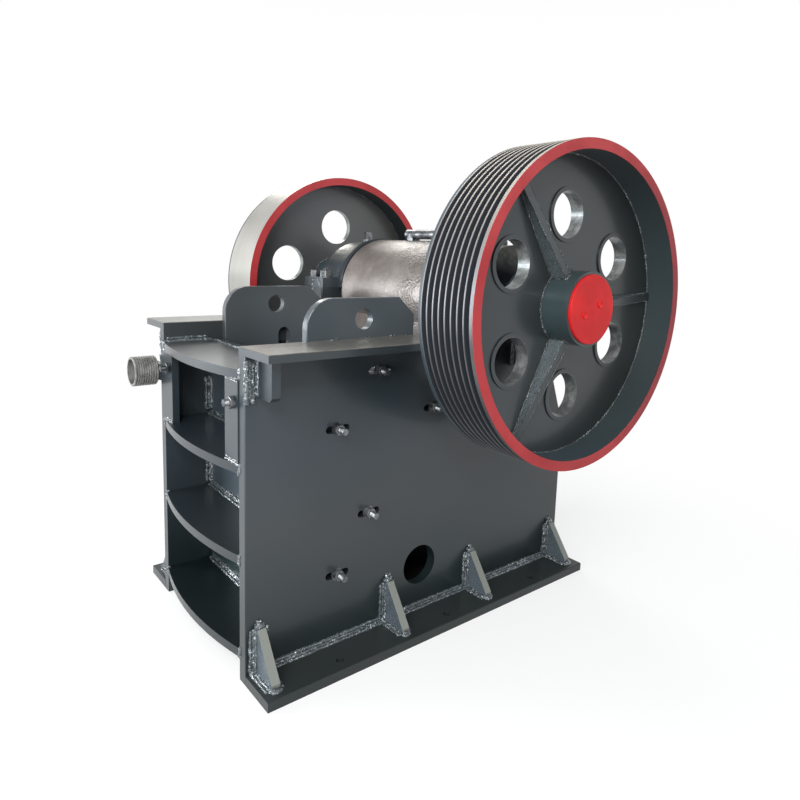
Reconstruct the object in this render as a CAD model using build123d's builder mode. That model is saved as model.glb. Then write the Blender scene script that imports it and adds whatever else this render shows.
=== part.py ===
"""Single-toggle jaw crusher with a 600 x 400 mm feed opening, in millimetres.

X runs along the eccentric shaft to the grooved drive sheave, the ribbed front
wall faces -Y and Z is up. The origin is the centre of the foot bolt holes, on
the floor.
"""
import os
from math import atan2, cos, degrees, radians, sin

from build123d import *

os.makedirs("parts", exist_ok=True)

# welded frame
frame_length = 1520.0
half_length = frame_length / 2
plate_inner_x = 332.0
plate_thickness = 40.0
plate_outer_x = plate_inner_x + plate_thickness
frame_height = 1081.0
flange_thickness = 25.0
flange_width = 194.0
foot_width = 155.0
foot_thickness = 32.0
foot_hole_radius = 14.0
foot_hole_offset = 106.0
foot_hole_x = plate_outer_x + foot_hole_offset
foot_hole_pitch = 0.3125 * frame_length
rear_slope_run = 160.0
rear_slope_drop = 441.0
rear_slope_y = half_length - rear_slope_run
rear_edge_height = frame_height - rear_slope_drop
edge_break = 2.5

# front wall with its bowed ribs, heights as parts of the way from bottom to top
wall_recess = 178.0
wall_thickness = 40.0
wall_front_y = -half_length + wall_recess
wall_rear_y = wall_front_y + wall_thickness
rib_thickness = 29.0
rib_bow = 40.0
bottom_rib_z = 91.0
top_rib_drop = 86.0
top_rib_z = frame_height - top_rib_drop
rib_heights = [bottom_rib_z + part * (top_rib_z - bottom_rib_z) for part in (0.0, 0.347, 0.673, 1.0)]
wall_bottom = bottom_rib_z - rib_thickness / 2
wall_top = top_rib_z + rib_thickness / 2

# crushing chamber
feed_gap = 400.0
discharge_gap = 80.0
liner_thickness = 60.0
tooth_depth = 22.0
tooth_count = 10
cheek_thickness = 30.0
cheek_inner_x = plate_inner_x - cheek_thickness
jaw_side_gap = 17.0
barrel_side_gap = 7.0
jaw_top_drop = 61.0
jaw_lift = 53.5
jaw_half_width = cheek_inner_x - jaw_side_gap
barrel_half_length = cheek_inner_x - barrel_side_gap
jaw_top_z = frame_height - jaw_top_drop
jaw_bottom_z = wall_bottom + jaw_lift
fixed_face_y = wall_rear_y + liner_thickness
swing_top_y = fixed_face_y + feed_gap
swing_bottom_y = fixed_face_y + discharge_gap
swing_slope = (swing_top_y - swing_bottom_y) / (jaw_top_z - jaw_bottom_z)
swing_tilt = degrees(atan2(swing_top_y - swing_bottom_y, jaw_top_z - jaw_bottom_z))

# shaft, rotor and running fits
shaft_setback = 319.0
shaft_rise = 127.0
shaft_y = swing_top_y + shaft_setback
shaft_z = frame_height + shaft_rise
eccentricity = 12.0
eccentric_z = shaft_z - eccentricity
journal_radius = 75.0
eccentric_radius = 92.0
barrel_radius = 230.0
running_clearance = 0.05
hub_radius = 125.0
hub_inner_x = 575.0
hub_outer_x = 850.0
cap_radius = 116.0
cap_thickness = 13.0

# wheels
sheave_radius = 545.0
flywheel_radius = 515.0
wheel_inner_x = 617.0
wheel_outer_x = 854.0
rim_thickness = 34.0
sheave_web_inner_x = 705.0
flywheel_web_inner_x = 725.0
boss_height = 5.0

# bearing housings
housing_step = 18.0
housing_width = 155.0
housing_inner_x = plate_inner_x + housing_step
housing_outer_x = housing_inner_x + housing_width
housing_middle_x = (housing_inner_x + housing_outer_x) / 2
housing_radius = 205.0
housing_half_length = 300.0
cap_flange_height = 42.0
housing_edge_break = 5.0


def save(shape, label):
    """Name one finished piece and write it."""
    shape.label = label
    export_step(shape, f"parts/{label}.step")


def side_plane(x):
    """A sketch plane whose axes are the object's Y and Z."""
    return Plane(origin=(x, 0, 0), x_dir=(0, 1, 0), z_dir=(1, 0, 0))


def swing_face_y(z):
    """Where the swing jaw's liner face stands at one height."""
    return swing_bottom_y + (z - jaw_bottom_z) * swing_slope


# side plates: one profile, with the access hole by the toggle and slots for the cheek plate bolts
plate_top = frame_height - flange_thickness
plate_profile = [(-half_length, 0), (half_length, 0), (half_length, rear_edge_height),
                 (rear_slope_y, plate_top), (-half_length, plate_top)]
access_hole_setback = 348.0
access_hole_rise = 169.0
access_hole_y = swing_bottom_y + access_hole_setback
access_hole_z = foot_thickness + access_hole_rise
access_hole_radius = 76.0
slot_length = 92.0
slot_height = 25.0
# each as a part of the feed gap from the swing jaw's face, and a part of the plate's height
slot_shares = ((-0.665, 0.746), (-0.415, 0.92), (-0.0425, 0.443), (-0.185, 0.26), (0.36, 0.767))
slot_places = [(swing_face_y(up * plate_top) + across * feed_gap, up * plate_top)
               for across, up in slot_shares]
for side, label in ((1, "side_plate_right"), (-1, "side_plate_left")):
    with BuildPart() as side_plate:
        with BuildSketch(side_plane(side * plate_outer_x)):
            with BuildLine():
                Polyline(plate_profile, close=True)
            make_face()
        extrude(amount=-side * plate_thickness)
        chamfer(side_plate.faces().sort_by(Axis.X)[-1 if side > 0 else 0].edges(), edge_break)
        with BuildSketch(side_plane(side * plate_outer_x)):
            with Locations((access_hole_y, access_hole_z)):
                Circle(access_hole_radius)
            with Locations(*slot_places):
                SlotOverall(slot_length, slot_height)
        extrude(amount=-side * plate_thickness, mode=Mode.SUBTRACT)
    save(side_plate.part, label)

# floor flanges with three bolt holes a side
with BuildPart() as foot_plates:
    for side in (1, -1):
        with Locations((side * (plate_outer_x + foot_width / 2), 0, 0)):
            Box(foot_width, frame_length, foot_thickness, align=(Align.CENTER, Align.CENTER, Align.MIN))
    for side in (1, -1):
        outer_face = foot_plates.faces().sort_by(Axis.X)[-1 if side > 0 else 0]
        chamfer(outer_face.edges().group_by(Axis.Z)[-1], edge_break)
    hole_places = [(side * foot_hole_x, row * foot_hole_pitch, 0) for side in (1, -1) for row in (-1, 0, 1)]
    with Locations(hole_places):
        Cylinder(foot_hole_radius, foot_thickness, align=(Align.CENTER, Align.CENTER, Align.MIN),
                 mode=Mode.SUBTRACT)
save(foot_plates.part, "foot_plates")

# four triangular gussets a side, on the foot flange
gusset_reach = 118.0
gusset_height = 155.0
gusset_tip = 20.0
gusset_thickness = 30.0
gusset_rows = [part * half_length for part in (-0.94, -0.272, 0.278, 0.93)]
with BuildPart() as foot_gussets:
    for side in (1, -1):
        for row in gusset_rows:
            with BuildSketch(Plane(origin=(side * plate_outer_x, row + gusset_thickness / 2, foot_thickness),
                                   x_dir=(side, 0, 0), z_dir=(0, -side, 0))):
                with BuildLine():
                    Polyline([(0, 0), (gusset_reach, 0), (gusset_reach, gusset_tip),
                              (gusset_tip, gusset_height), (0, gusset_height)], close=True)
                make_face()
            extrude(amount=side * gusset_thickness)
save(foot_gussets.part, "foot_gussets")

# top flanges, which cover the side plates and carry the bearing housings
with BuildPart() as top_flanges:
    for side in (1, -1):
        middle = (side * (plate_inner_x + flange_width / 2), (rear_slope_y - half_length) / 2, frame_height)
        with Locations(middle):
            Box(flange_width, rear_slope_y + half_length, flange_thickness,
                align=(Align.CENTER, Align.CENTER, Align.MAX))
    chamfer(top_flanges.edges().group_by(Axis.Z)[-1], edge_break)
save(top_flanges.part, "top_flanges")

# stiffeners under the top flanges: one at the right front corner, two below each housing
stiffener_thickness = 29.0
stiffener_reach = 98.0
stiffener_drop = 126.0
stiffener_chamfer = 12.0
front_stiffener_inset = 52.5
front_stiffener_y = -half_length + front_stiffener_inset
housing_stiffener_offset = 180.0
stiffener_places = [(1, front_stiffener_y)] + [(side, shaft_y + row * housing_stiffener_offset)
                                               for side in (1, -1) for row in (-1, 1)]
with BuildPart() as flange_stiffeners:
    for side, row in stiffener_places:
        with Locations((side * (plate_outer_x + stiffener_reach / 2), row, plate_top)):
            Box(stiffener_reach, stiffener_thickness, stiffener_drop,
                align=(Align.CENTER, Align.CENTER, Align.MAX))
    chamfer(flange_stiffeners.edges().filter_by(Axis.Y).group_by(Axis.Z)[0].filter_by(
        lambda edge: abs(edge.center().X) > plate_outer_x + stiffener_reach / 2), stiffener_chamfer)
save(flange_stiffeners.part, "flange_stiffeners")

# front wall between the side plates
with BuildPart() as front_wall:
    with Locations((0, wall_front_y, wall_bottom)):
        Box(2 * plate_inner_x, wall_thickness, wall_top - wall_bottom,
            align=(Align.CENTER, Align.MIN, Align.MIN))
save(front_wall.part, "front_wall")

# four horizontal ribs in front of it, bowed forward
with BuildPart() as front_ribs:
    for height in rib_heights:
        with BuildSketch(Plane.XY.offset(height - rib_thickness / 2)):
            with BuildLine():
                Polyline([(plate_inner_x, -half_length), (plate_inner_x, wall_front_y),
                          (-plate_inner_x, wall_front_y), (-plate_inner_x, -half_length)])
                ThreePointArc((-plate_inner_x, -half_length), (0, -half_length - rib_bow),
                              (plate_inner_x, -half_length))
            make_face()
        extrude(amount=rib_thickness)
save(front_ribs.part, "front_ribs")

# upright pads in the top bay, which the clamp studs pass through
pad_width = 95.0
pad_thickness = 25.0
pad_overhang = 4.0
pad_front_y = -half_length - pad_overhang
pad_bottom = rib_heights[2] + rib_thickness / 2
pad_height = rib_heights[3] - rib_heights[2] - rib_thickness
with BuildPart() as stud_pads:
    for side in (1, -1):
        with Locations((side * (plate_inner_x - pad_width / 2), pad_front_y, pad_bottom)):
            Box(pad_width, pad_thickness, pad_height, align=(Align.CENTER, Align.MIN, Align.MIN))
save(stud_pads.part, "stud_pads")

# studs with their nuts on the pads
stud_radius = 12.0
stud_reach = 33.0
stud_places = ((-plate_inner_x + 0.737 * pad_width, pad_bottom + 0.776 * pad_height),
               (plate_inner_x - 0.305 * pad_width, pad_bottom + 0.724 * pad_height))
nut_across = 36.0
nut_height = 16.0
with BuildPart() as clamp_studs:
    for place in stud_places:
        with BuildSketch(Plane(origin=(place[0], pad_front_y, place[1]), x_dir=(1, 0, 0), z_dir=(0, -1, 0))):
            Circle(stud_radius)
        extrude(amount=stud_reach)
        with BuildSketch(Plane(origin=(place[0], pad_front_y, place[1]), x_dir=(1, 0, 0), z_dir=(0, -1, 0))):
            RegularPolygon(nut_across / 2, 6, major_radius=False)
        extrude(amount=nut_height)
save(clamp_studs.part, "clamp_studs")

# ribbed sleeve on a bracket outside the left plate
sleeve_offset = 61.0
sleeve_drop = 196.0
sleeve_overhang = 92.0
sleeve_x = -plate_outer_x - sleeve_offset
sleeve_z = frame_height - sleeve_drop
sleeve_length = 88.0
sleeve_radius = 57.0
sleeve_wall = 9.0
sleeve_rings = 10
ring_height = 3.0
sleeve_front_y = -half_length - sleeve_overhang
sleeve_floor = 8.0
ring_pitch = sleeve_length / sleeve_rings
with BuildPart() as ribbed_sleeve:
    with BuildSketch(Plane(origin=(sleeve_x, sleeve_front_y, sleeve_z), x_dir=(1, 0, 0), z_dir=(0, 0, 1))):
        with BuildLine():
            outline = [(sleeve_radius - sleeve_wall, 0)]
            for ring in range(sleeve_rings):
                start = ring * ring_pitch
                outline += [(sleeve_radius - ring_height, start), (sleeve_radius, start + ring_pitch * 0.3),
                            (sleeve_radius, start + ring_pitch * 0.7)]
            outline += [(sleeve_radius - ring_height, sleeve_length),
                        (sleeve_radius - sleeve_wall, sleeve_length)]
            Polyline(outline, close=True)
        make_face()
    revolve(axis=Axis((sleeve_x, 0, sleeve_z), (0, 1, 0)))
    with Locations(Location((sleeve_x, sleeve_front_y + sleeve_length, sleeve_z), (90, 0, 0))):
        Cylinder(sleeve_radius - ring_height, sleeve_floor, align=(Align.CENTER, Align.CENTER, Align.MIN))
save(ribbed_sleeve.part, "ribbed_sleeve")

bracket_thickness = 22.0
bracket_height = 62.0
bracket_lap = 26.0
with BuildPart() as sleeve_bracket:
    with Locations((-plate_outer_x, sleeve_front_y + sleeve_length, sleeve_z)):
        Box(sleeve_offset + bracket_lap, bracket_thickness, bracket_height,
            align=(Align.MAX, Align.MIN, Align.CENTER))
save(sleeve_bracket.part, "sleeve_bracket")


def toothed_liner(height):
    """A liner with upright teeth, its back on Y = 0 and its teeth towards -Y."""
    pitch = 2 * jaw_half_width / tooth_count
    with BuildPart() as liner:
        with BuildSketch(Plane.XY):
            with BuildLine():
                points = [(-jaw_half_width, 0), (-jaw_half_width, -(liner_thickness - tooth_depth))]
                for tooth in range(tooth_count):
                    left = -jaw_half_width + tooth * pitch
                    points += [(left + pitch * 0.35, -liner_thickness),
                               (left + pitch * 0.65, -liner_thickness),
                               (left + pitch, -(liner_thickness - tooth_depth))]
                points += [(jaw_half_width, 0)]
                Polyline(points, close=True)
            make_face()
        extrude(amount=height)
    return liner.part


# fixed jaw liner, teeth towards the chamber, on a ledge at the foot of the front wall
liner_drop = 12.0
fixed_jaw_plate = toothed_liner(wall_top - liner_drop - jaw_bottom_z).rotate(Axis.Z, 180).moved(
    Location((0, wall_rear_y, jaw_bottom_z)))
save(fixed_jaw_plate, "fixed_jaw_plate")

with BuildPart() as liner_ledge:
    with Locations((0, wall_rear_y, jaw_bottom_z)):
        Box(2 * jaw_half_width, liner_thickness - tooth_depth, jaw_bottom_z - wall_bottom,
            align=(Align.CENTER, Align.MIN, Align.MAX))
save(liner_ledge.part, "liner_ledge")

# upper cheek plates inside the side plates; their ears stand above the frame and take the lifting pins
cheek_cover = 70.0
cheek_foot_drop = 20.0
cheek_joint = 5.0
cheek_split_rise = 430.0
cheek_split_z = jaw_bottom_z + cheek_split_rise
ear_rise = 136.0
ear_setback = 12.0
ear_shaft_gap = 325.0
ear_radius = 100.0
ear_slope_run = 69.0
ear_slope_drop = 62.0
ear_top_z = frame_height + ear_rise
ear_front_y = wall_rear_y + ear_setback
ear_rear_y = shaft_y - ear_shaft_gap
ear_hole_setback = 222.0
ear_hole_rise = 64.0
ear_hole_radius = 36.0
ear_slot_setback = 258.0
ear_slot_drop = 81.0
ear_slot_length = 92.0
ear_slot_width = 52.0
with BuildPart() as cheek_plates:
    for side in (1, -1):
        with BuildSketch(side_plane(side * plate_inner_x)):
            with BuildLine():
                Polyline([(ear_front_y, ear_top_z - ear_radius), (ear_front_y, cheek_split_z),
                          (swing_face_y(cheek_split_z) + cheek_cover, cheek_split_z),
                          (swing_face_y(jaw_top_z) + cheek_cover, jaw_top_z - cheek_foot_drop),
                          (ear_rear_y, jaw_top_z - cheek_foot_drop), (ear_rear_y, ear_top_z - ear_slope_drop),
                          (ear_rear_y - ear_slope_run, ear_top_z), (ear_front_y + ear_radius, ear_top_z)])
                RadiusArc((ear_front_y + ear_radius, ear_top_z), (ear_front_y, ear_top_z - ear_radius),
                          -ear_radius)
            make_face()
        extrude(amount=-side * cheek_thickness)
    for face_row in (0, 1, -2, -1):
        chamfer(cheek_plates.faces().filter_by(Axis.X).sort_by(Axis.X)[face_row].edges(), edge_break)
    with BuildSketch(side_plane(-plate_inner_x)):
        with Locations((ear_front_y + ear_hole_setback, frame_height + ear_hole_rise)):
            Circle(ear_hole_radius)
        with Locations((ear_front_y + ear_slot_setback, frame_height - ear_slot_drop)):
            SlotOverall(ear_slot_length, ear_slot_width, rotation=90)
    extrude(amount=2 * plate_inner_x, mode=Mode.SUBTRACT)
save(cheek_plates.part, "cheek_plates")

# lower cheek liners
cheek_bottom_z = jaw_bottom_z - cheek_foot_drop
lower_cheek_top = cheek_split_z - cheek_joint
with BuildPart() as lower_cheek_plates:
    for side in (1, -1):
        with BuildSketch(side_plane(side * plate_inner_x)):
            with BuildLine():
                Polyline([(wall_rear_y, cheek_bottom_z),
                          (swing_face_y(cheek_bottom_z) + cheek_cover, cheek_bottom_z),
                          (swing_face_y(lower_cheek_top) + cheek_cover, lower_cheek_top),
                          (wall_rear_y, lower_cheek_top)], close=True)
            make_face()
        extrude(amount=-side * cheek_thickness)
save(lower_cheek_plates.part, "lower_cheek_plates")

# rear wall with its ribs and the toggle block
rear_wall_inset = 290.0
rear_wall_lift = 23.5
rear_wall_drop = 281.0
rear_wall_y = half_length - rear_wall_inset
rear_wall_bottom = wall_bottom + rear_wall_lift
rear_wall_top = frame_height - rear_wall_drop
toggle_seat_rise = 200.0
toggle_seat_z = jaw_bottom_z + toggle_seat_rise
rod_rise = 20.0
rod_z = jaw_bottom_z + rod_rise
rod_radius = 16.0
rod_hole_gap = 10.0
with BuildPart() as rear_wall:
    with Locations((0, rear_wall_y, rear_wall_bottom)):
        Box(2 * plate_inner_x, wall_thickness, rear_wall_top - rear_wall_bottom,
            align=(Align.CENTER, Align.MIN, Align.MIN))
    with BuildSketch(Plane(origin=(0, rear_wall_y, rod_z), x_dir=(1, 0, 0), z_dir=(0, 1, 0))):
        Circle(rod_radius + rod_hole_gap)
    extrude(amount=wall_thickness, mode=Mode.SUBTRACT)
save(rear_wall.part, "rear_wall")

rear_rib_depth = 150.0
rear_rib_heights = [rear_wall_bottom + part * (rear_wall_top - rear_wall_bottom)
                    for part in (0.214, 0.543, 0.971)]
with BuildPart() as rear_ribs:
    for height in rear_rib_heights:
        with Locations((0, rear_wall_y + wall_thickness, height)):
            Box(2 * plate_inner_x, rear_rib_depth, rib_thickness,
                align=(Align.CENTER, Align.MIN, Align.CENTER))
save(rear_ribs.part, "rear_ribs")

toggle_block_depth = 70.0
toggle_block_height = 160.0
toggle_block_front = rear_wall_y - toggle_block_depth
toggle_inset = 45.0
toggle_half_width = jaw_half_width - toggle_inset
toggle_end_radius = 22.0
toggle_end_gap = 0.3
toggle_block_lap = 10.0
toggle_block_half = toggle_half_width + toggle_block_lap
with BuildPart() as toggle_block:
    with Locations((0, toggle_block_front, toggle_seat_z)):
        Box(2 * toggle_block_half, toggle_block_depth, toggle_block_height,
            align=(Align.CENTER, Align.MIN, Align.CENTER))
    with Locations(Location((0, toggle_block_front, toggle_seat_z), (0, 90, 0))):
        Cylinder(toggle_end_radius + toggle_end_gap, 2 * toggle_block_half, mode=Mode.SUBTRACT)
save(toggle_block.part, "toggle_block")

# swing jaw: barrel, tapering body, seat for the toggle and two lugs with the pin for the tension rod
tilt = radians(swing_tilt)
body_top = (swing_top_y + liner_thickness * cos(tilt), jaw_top_z - liner_thickness * sin(tilt))
body_bottom = (swing_bottom_y + liner_thickness * cos(tilt), jaw_bottom_z - liner_thickness * sin(tilt))
jaw_depth = 227.0
back_y = swing_bottom_y + jaw_depth
body_profile = [body_top, body_bottom, (back_y - 0.13 * jaw_depth, jaw_bottom_z - 0.28 * jaw_depth),
                (back_y, jaw_bottom_z + 0.09 * jaw_depth), (back_y, jaw_bottom_z + 0.75 * jaw_depth),
                (back_y + 0.44 * jaw_depth, jaw_bottom_z + 1.28 * jaw_depth),
                (shaft_y - 0.096 * barrel_radius, eccentric_z - 0.852 * barrel_radius),
                (shaft_y, eccentric_z),
                (shaft_y - 0.917 * barrel_radius, eccentric_z - 0.365 * barrel_radius)]
toggle_setback = 40.0
toggle_free_rise = 102.0
toggle_free_y = back_y + toggle_setback
toggle_free_z = jaw_bottom_z + toggle_free_rise
seat_gap = 8.0
seat_radius = toggle_end_radius + eccentricity + seat_gap
seat_depth = 50.0
lug_gap = 14.0
lug_inner_x = rod_radius + lug_gap
lug_thickness = 20.0
lug_root = 20.0
lug_length = 85.0
lug_height = 60.0
pin_radius = 10.0
pin_setback = 25.0
pin_overhang = 6.0
with BuildPart() as swing_jaw:
    with BuildSketch(side_plane(-jaw_half_width)):
        with BuildLine():
            Polyline(body_profile, close=True)
        make_face()
    extrude(amount=2 * jaw_half_width)
    with Locations(Location((0, shaft_y, eccentric_z), (0, 90, 0))):
        Cylinder(barrel_radius, 2 * barrel_half_length)
        Cylinder(eccentric_radius + running_clearance, 2 * barrel_half_length, mode=Mode.SUBTRACT)
    with Locations((0, back_y, toggle_free_z - eccentricity)):
        Box(2 * toggle_half_width + toggle_block_lap, seat_depth, 3 * seat_radius,
            align=(Align.CENTER, Align.MIN, Align.CENTER))
    with Locations(Location((0, toggle_free_y, toggle_free_z - eccentricity), (0, 90, 0))):
        Cylinder(seat_radius, 2 * jaw_half_width, mode=Mode.SUBTRACT)
    for side in (1, -1):
        with Locations((side * (lug_inner_x + lug_thickness / 2), back_y - lug_root, rod_z - eccentricity)):
            Box(lug_thickness, lug_length, lug_height, align=(Align.CENTER, Align.MIN, Align.CENTER))
    with Locations(Location((0, back_y + pin_setback, rod_z - eccentricity), (0, 90, 0))):
        Cylinder(pin_radius, 2 * (lug_inner_x + lug_thickness + pin_overhang))
save(swing_jaw.part, "swing_jaw")

# short bar on two feet on top of the barrel, to lift the jaw by
bar_radius = 21.0
bar_half_length = 130.0
bar_end_chamfer = 8.0
bar_gap = 4.0
bar_foot_x = 85.0
bar_foot_width = 34.0
bar_foot_height = 41.0
bar_z = eccentric_z + barrel_radius + bar_radius + bar_gap
with BuildPart() as jaw_lifting_bar:
    for side in (1, -1):
        with Locations((side * bar_foot_x, shaft_y, bar_z)):
            Box(bar_foot_width, 2 * bar_radius, bar_foot_height,
                align=(Align.CENTER, Align.CENTER, Align.MAX))
    with Locations(Location((0, shaft_y, eccentric_z), (0, 90, 0))):
        Cylinder(barrel_radius, 2 * bar_half_length, mode=Mode.SUBTRACT)
    with Locations(Location((0, shaft_y, bar_z), (0, 90, 0))):
        Cylinder(bar_radius, 2 * bar_half_length)
    chamfer(jaw_lifting_bar.edges().filter_by(GeomType.CIRCLE).filter_by(
        lambda edge: abs(edge.center().X) > bar_half_length - bar_foot_width / 2), bar_end_chamfer)
save(jaw_lifting_bar.part, "jaw_lifting_bar")

swing_jaw_plate = toothed_liner((jaw_top_z - jaw_bottom_z) / cos(tilt)).rotate(Axis.X, -swing_tilt).moved(
    Location((0, body_bottom[0], body_bottom[1])))
save(swing_jaw_plate, "swing_jaw_plate")

# toggle plate, its rear end in the block, its front end standing clear inside the swing jaw's seat
toggle_thickness = 36.0
toggle_span_y = toggle_block_front - toggle_free_y
toggle_span_z = toggle_seat_z - toggle_free_z
toggle_angle = degrees(atan2(toggle_span_z, toggle_span_y))
toggle_length = (toggle_span_y ** 2 + toggle_span_z ** 2) ** 0.5
with BuildPart() as toggle_plate:
    with BuildSketch(side_plane(-toggle_half_width)):
        with Locations(Location(((toggle_free_y + toggle_block_front) / 2,
                                 (toggle_free_z + toggle_seat_z) / 2), toggle_angle)):
            Rectangle(toggle_length, toggle_thickness)
        with Locations((toggle_free_y, toggle_free_z), (toggle_block_front, toggle_seat_z)):
            Circle(toggle_end_radius)
    extrude(amount=2 * toggle_half_width)
save(toggle_plate.part, "toggle_plate")

# tension rod with its spring, seats and nut behind the rear wall
rod_setback = 65.0
rod_front_y = back_y + rod_setback
seat_thickness = 16.0
spring_start = rear_wall_y + wall_thickness + seat_thickness
spring_turns = 6
spring_length = 170.0
spring_wire = 9.0
spring_radius = 38.0
rod_nut_across = 54.0
rod_nut_height = 26.0
rod_end_reach = 33.0
seat_overhang = 6.0
rod_end_y = spring_start + spring_length + seat_thickness + rod_nut_height + rod_end_reach
with BuildPart() as tension_rod:
    with Locations(Location((0, rod_front_y, rod_z), (-90, 0, 0))):
        Cylinder(rod_radius, rod_end_y - rod_front_y, align=(Align.CENTER, Align.CENTER, Align.MIN))
save(tension_rod.part, "tension_rod")

with BuildPart() as spring_seats:
    for y in (rear_wall_y + wall_thickness, spring_start + spring_length):
        with BuildSketch(Plane(origin=(0, y, rod_z), x_dir=(1, 0, 0), z_dir=(0, 1, 0))):
            Circle(spring_radius + spring_wire + seat_overhang)
            Circle(rod_radius, mode=Mode.SUBTRACT)
        extrude(amount=seat_thickness)
    with BuildSketch(Plane(origin=(0, spring_start + spring_length + seat_thickness, rod_z), x_dir=(1, 0, 0),
                           z_dir=(0, 1, 0))):
        RegularPolygon(rod_nut_across / 2, 6, major_radius=False)
        Circle(rod_radius, mode=Mode.SUBTRACT)
    extrude(amount=rod_nut_height)
save(spring_seats.part, "spring_seats")

# spring as one ribbed tube, a ridge for each turn
turn_pitch = spring_length / spring_turns
with BuildPart() as tension_spring:
    with BuildSketch(Plane(origin=(0, spring_start, rod_z), x_dir=(1, 0, 0), z_dir=(0, 0, 1))):
        with BuildLine():
            outline = [(spring_radius - spring_wire, 0)]
            for turn in range(spring_turns):
                start = turn * turn_pitch
                outline += [(spring_radius, start), (spring_radius + spring_wire, start + turn_pitch * 0.25),
                            (spring_radius + spring_wire, start + turn_pitch * 0.75)]
            outline += [(spring_radius, spring_length), (spring_radius - spring_wire, spring_length)]
            Polyline(outline, close=True)
        make_face()
    revolve(axis=Axis((0, 0, rod_z), (0, 1, 0)))
save(tension_spring.part, "tension_spring")

# bearing housings: lower block and bolted cap
with BuildPart() as housing_bases:
    for side in (1, -1):
        with Locations((side * housing_middle_x, shaft_y, frame_height)):
            Box(housing_outer_x - housing_inner_x, 2 * housing_half_length, shaft_z - frame_height,
                align=(Align.CENTER, Align.CENTER, Align.MIN))
    chamfer(housing_bases.edges().filter_by(Axis.Z), housing_edge_break)
    with Locations(Location((0, shaft_y, shaft_z), (0, 90, 0))):
        Cylinder(journal_radius + running_clearance, 2 * housing_outer_x, mode=Mode.SUBTRACT)
save(housing_bases.part, "housing_bases")

with BuildPart() as housing_caps:
    for side in (1, -1):
        with BuildSketch(side_plane(side * housing_inner_x)):
            with BuildLine():
                CenterArc((shaft_y, shaft_z), housing_radius, 0, 180)
                Line((shaft_y - housing_radius, shaft_z), (shaft_y + housing_radius, shaft_z))
            make_face()
            with Locations((shaft_y, shaft_z)):
                Rectangle(2 * housing_half_length, cap_flange_height, align=(Align.CENTER, Align.MIN))
        extrude(amount=side * (housing_outer_x - housing_inner_x))
    chamfer(housing_caps.edges().filter_by(Axis.Z), housing_edge_break)
    with Locations(Location((0, shaft_y, shaft_z), (0, 90, 0))):
        Cylinder(journal_radius + running_clearance, 2 * housing_outer_x, mode=Mode.SUBTRACT)
save(housing_caps.part, "housing_caps")

housing_bolt_inset = 42.0
housing_bolt_y = housing_half_length - housing_bolt_inset
housing_bolt_x = 42.0
housing_stud_radius = 13.0
housing_nut_across = 42.0
housing_nut_height = 22.0
housing_stud_reach = 36.0
with BuildPart() as housing_bolts:
    for side in (1, -1):
        for across in (-1, 1):
            for row in (-1, 1):
                seat = Plane(origin=(side * housing_middle_x + across * housing_bolt_x,
                                     shaft_y + row * housing_bolt_y, shaft_z + cap_flange_height))
                with BuildSketch(seat):
                    RegularPolygon(housing_nut_across / 2, 6, major_radius=False)
                extrude(amount=housing_nut_height)
                with BuildSketch(seat):
                    Circle(housing_stud_radius)
                extrude(amount=housing_stud_reach)
save(housing_bolts.part, "housing_bolts")

# grease caps on top of the housings
grease_base_radius = 30.0
grease_base_height = 18.0
grease_base_sink = 4.0
grease_nut_across = 34.0
grease_nut_height = 34.0
grease_base_z = shaft_z + housing_radius - grease_base_sink
with BuildPart() as grease_caps:
    for side in (1, -1):
        with Locations((side * housing_middle_x, shaft_y, grease_base_z)):
            Cylinder(grease_base_radius, grease_base_height, align=(Align.CENTER, Align.CENTER, Align.MIN))
        with BuildSketch(Plane(origin=(side * housing_middle_x, shaft_y,
                                       grease_base_z + grease_base_height))):
            RegularPolygon(grease_nut_across / 2, 6, major_radius=False)
        extrude(amount=grease_nut_height)
    with Locations(Location((0, shaft_y, shaft_z), (0, 90, 0))):
        Cylinder(housing_radius, 2 * housing_outer_x, mode=Mode.SUBTRACT)
save(grease_caps.part, "grease_caps")

# seal rings between the barrel and the housings
seal_inset = 4.0
seal_radius = barrel_radius - seal_inset
seal_gap = 2.0
seal_inner_x = cheek_inner_x + seal_gap
seal_step = 24.0
seal_drop = 10.0
seal_bore_gap = 4.0
with BuildPart() as seal_rings:
    for side in (1, -1):
        for inner_x, outer_x, radius in (
                (seal_inner_x, seal_inner_x + seal_step, seal_radius),
                (seal_inner_x + seal_step, housing_inner_x, seal_radius - seal_drop)):
            with BuildSketch(side_plane(side * inner_x)):
                with Locations((shaft_y, shaft_z)):
                    Circle(radius)
                    Circle(eccentric_radius + seal_bore_gap, mode=Mode.SUBTRACT)
                    Rectangle(2 * seal_radius, seal_radius, align=(Align.CENTER, Align.MAX),
                              mode=Mode.SUBTRACT)
            extrude(amount=side * (outer_x - inner_x))
save(seal_rings.part, "seal_rings")

# eccentric shaft: one piece, thick between the housings
with BuildPart() as eccentric_shaft:
    with Locations(Location((0, shaft_y, shaft_z), (0, 90, 0))):
        Cylinder(journal_radius, 2 * hub_outer_x)
    with Locations(Location((0, shaft_y, eccentric_z), (0, 90, 0))):
        Cylinder(eccentric_radius, 2 * barrel_half_length)
save(eccentric_shaft.part, "eccentric_shaft")

# grooves of the sheave, shared out over the rim's width
groove_count = 8
groove_land = 12.0
groove_depth = 21.0
groove_bottom = 8.0
groove_pitch = (wheel_outer_x - wheel_inner_x - 2 * groove_land) / groove_count
groove_ridge = 5.0


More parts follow.
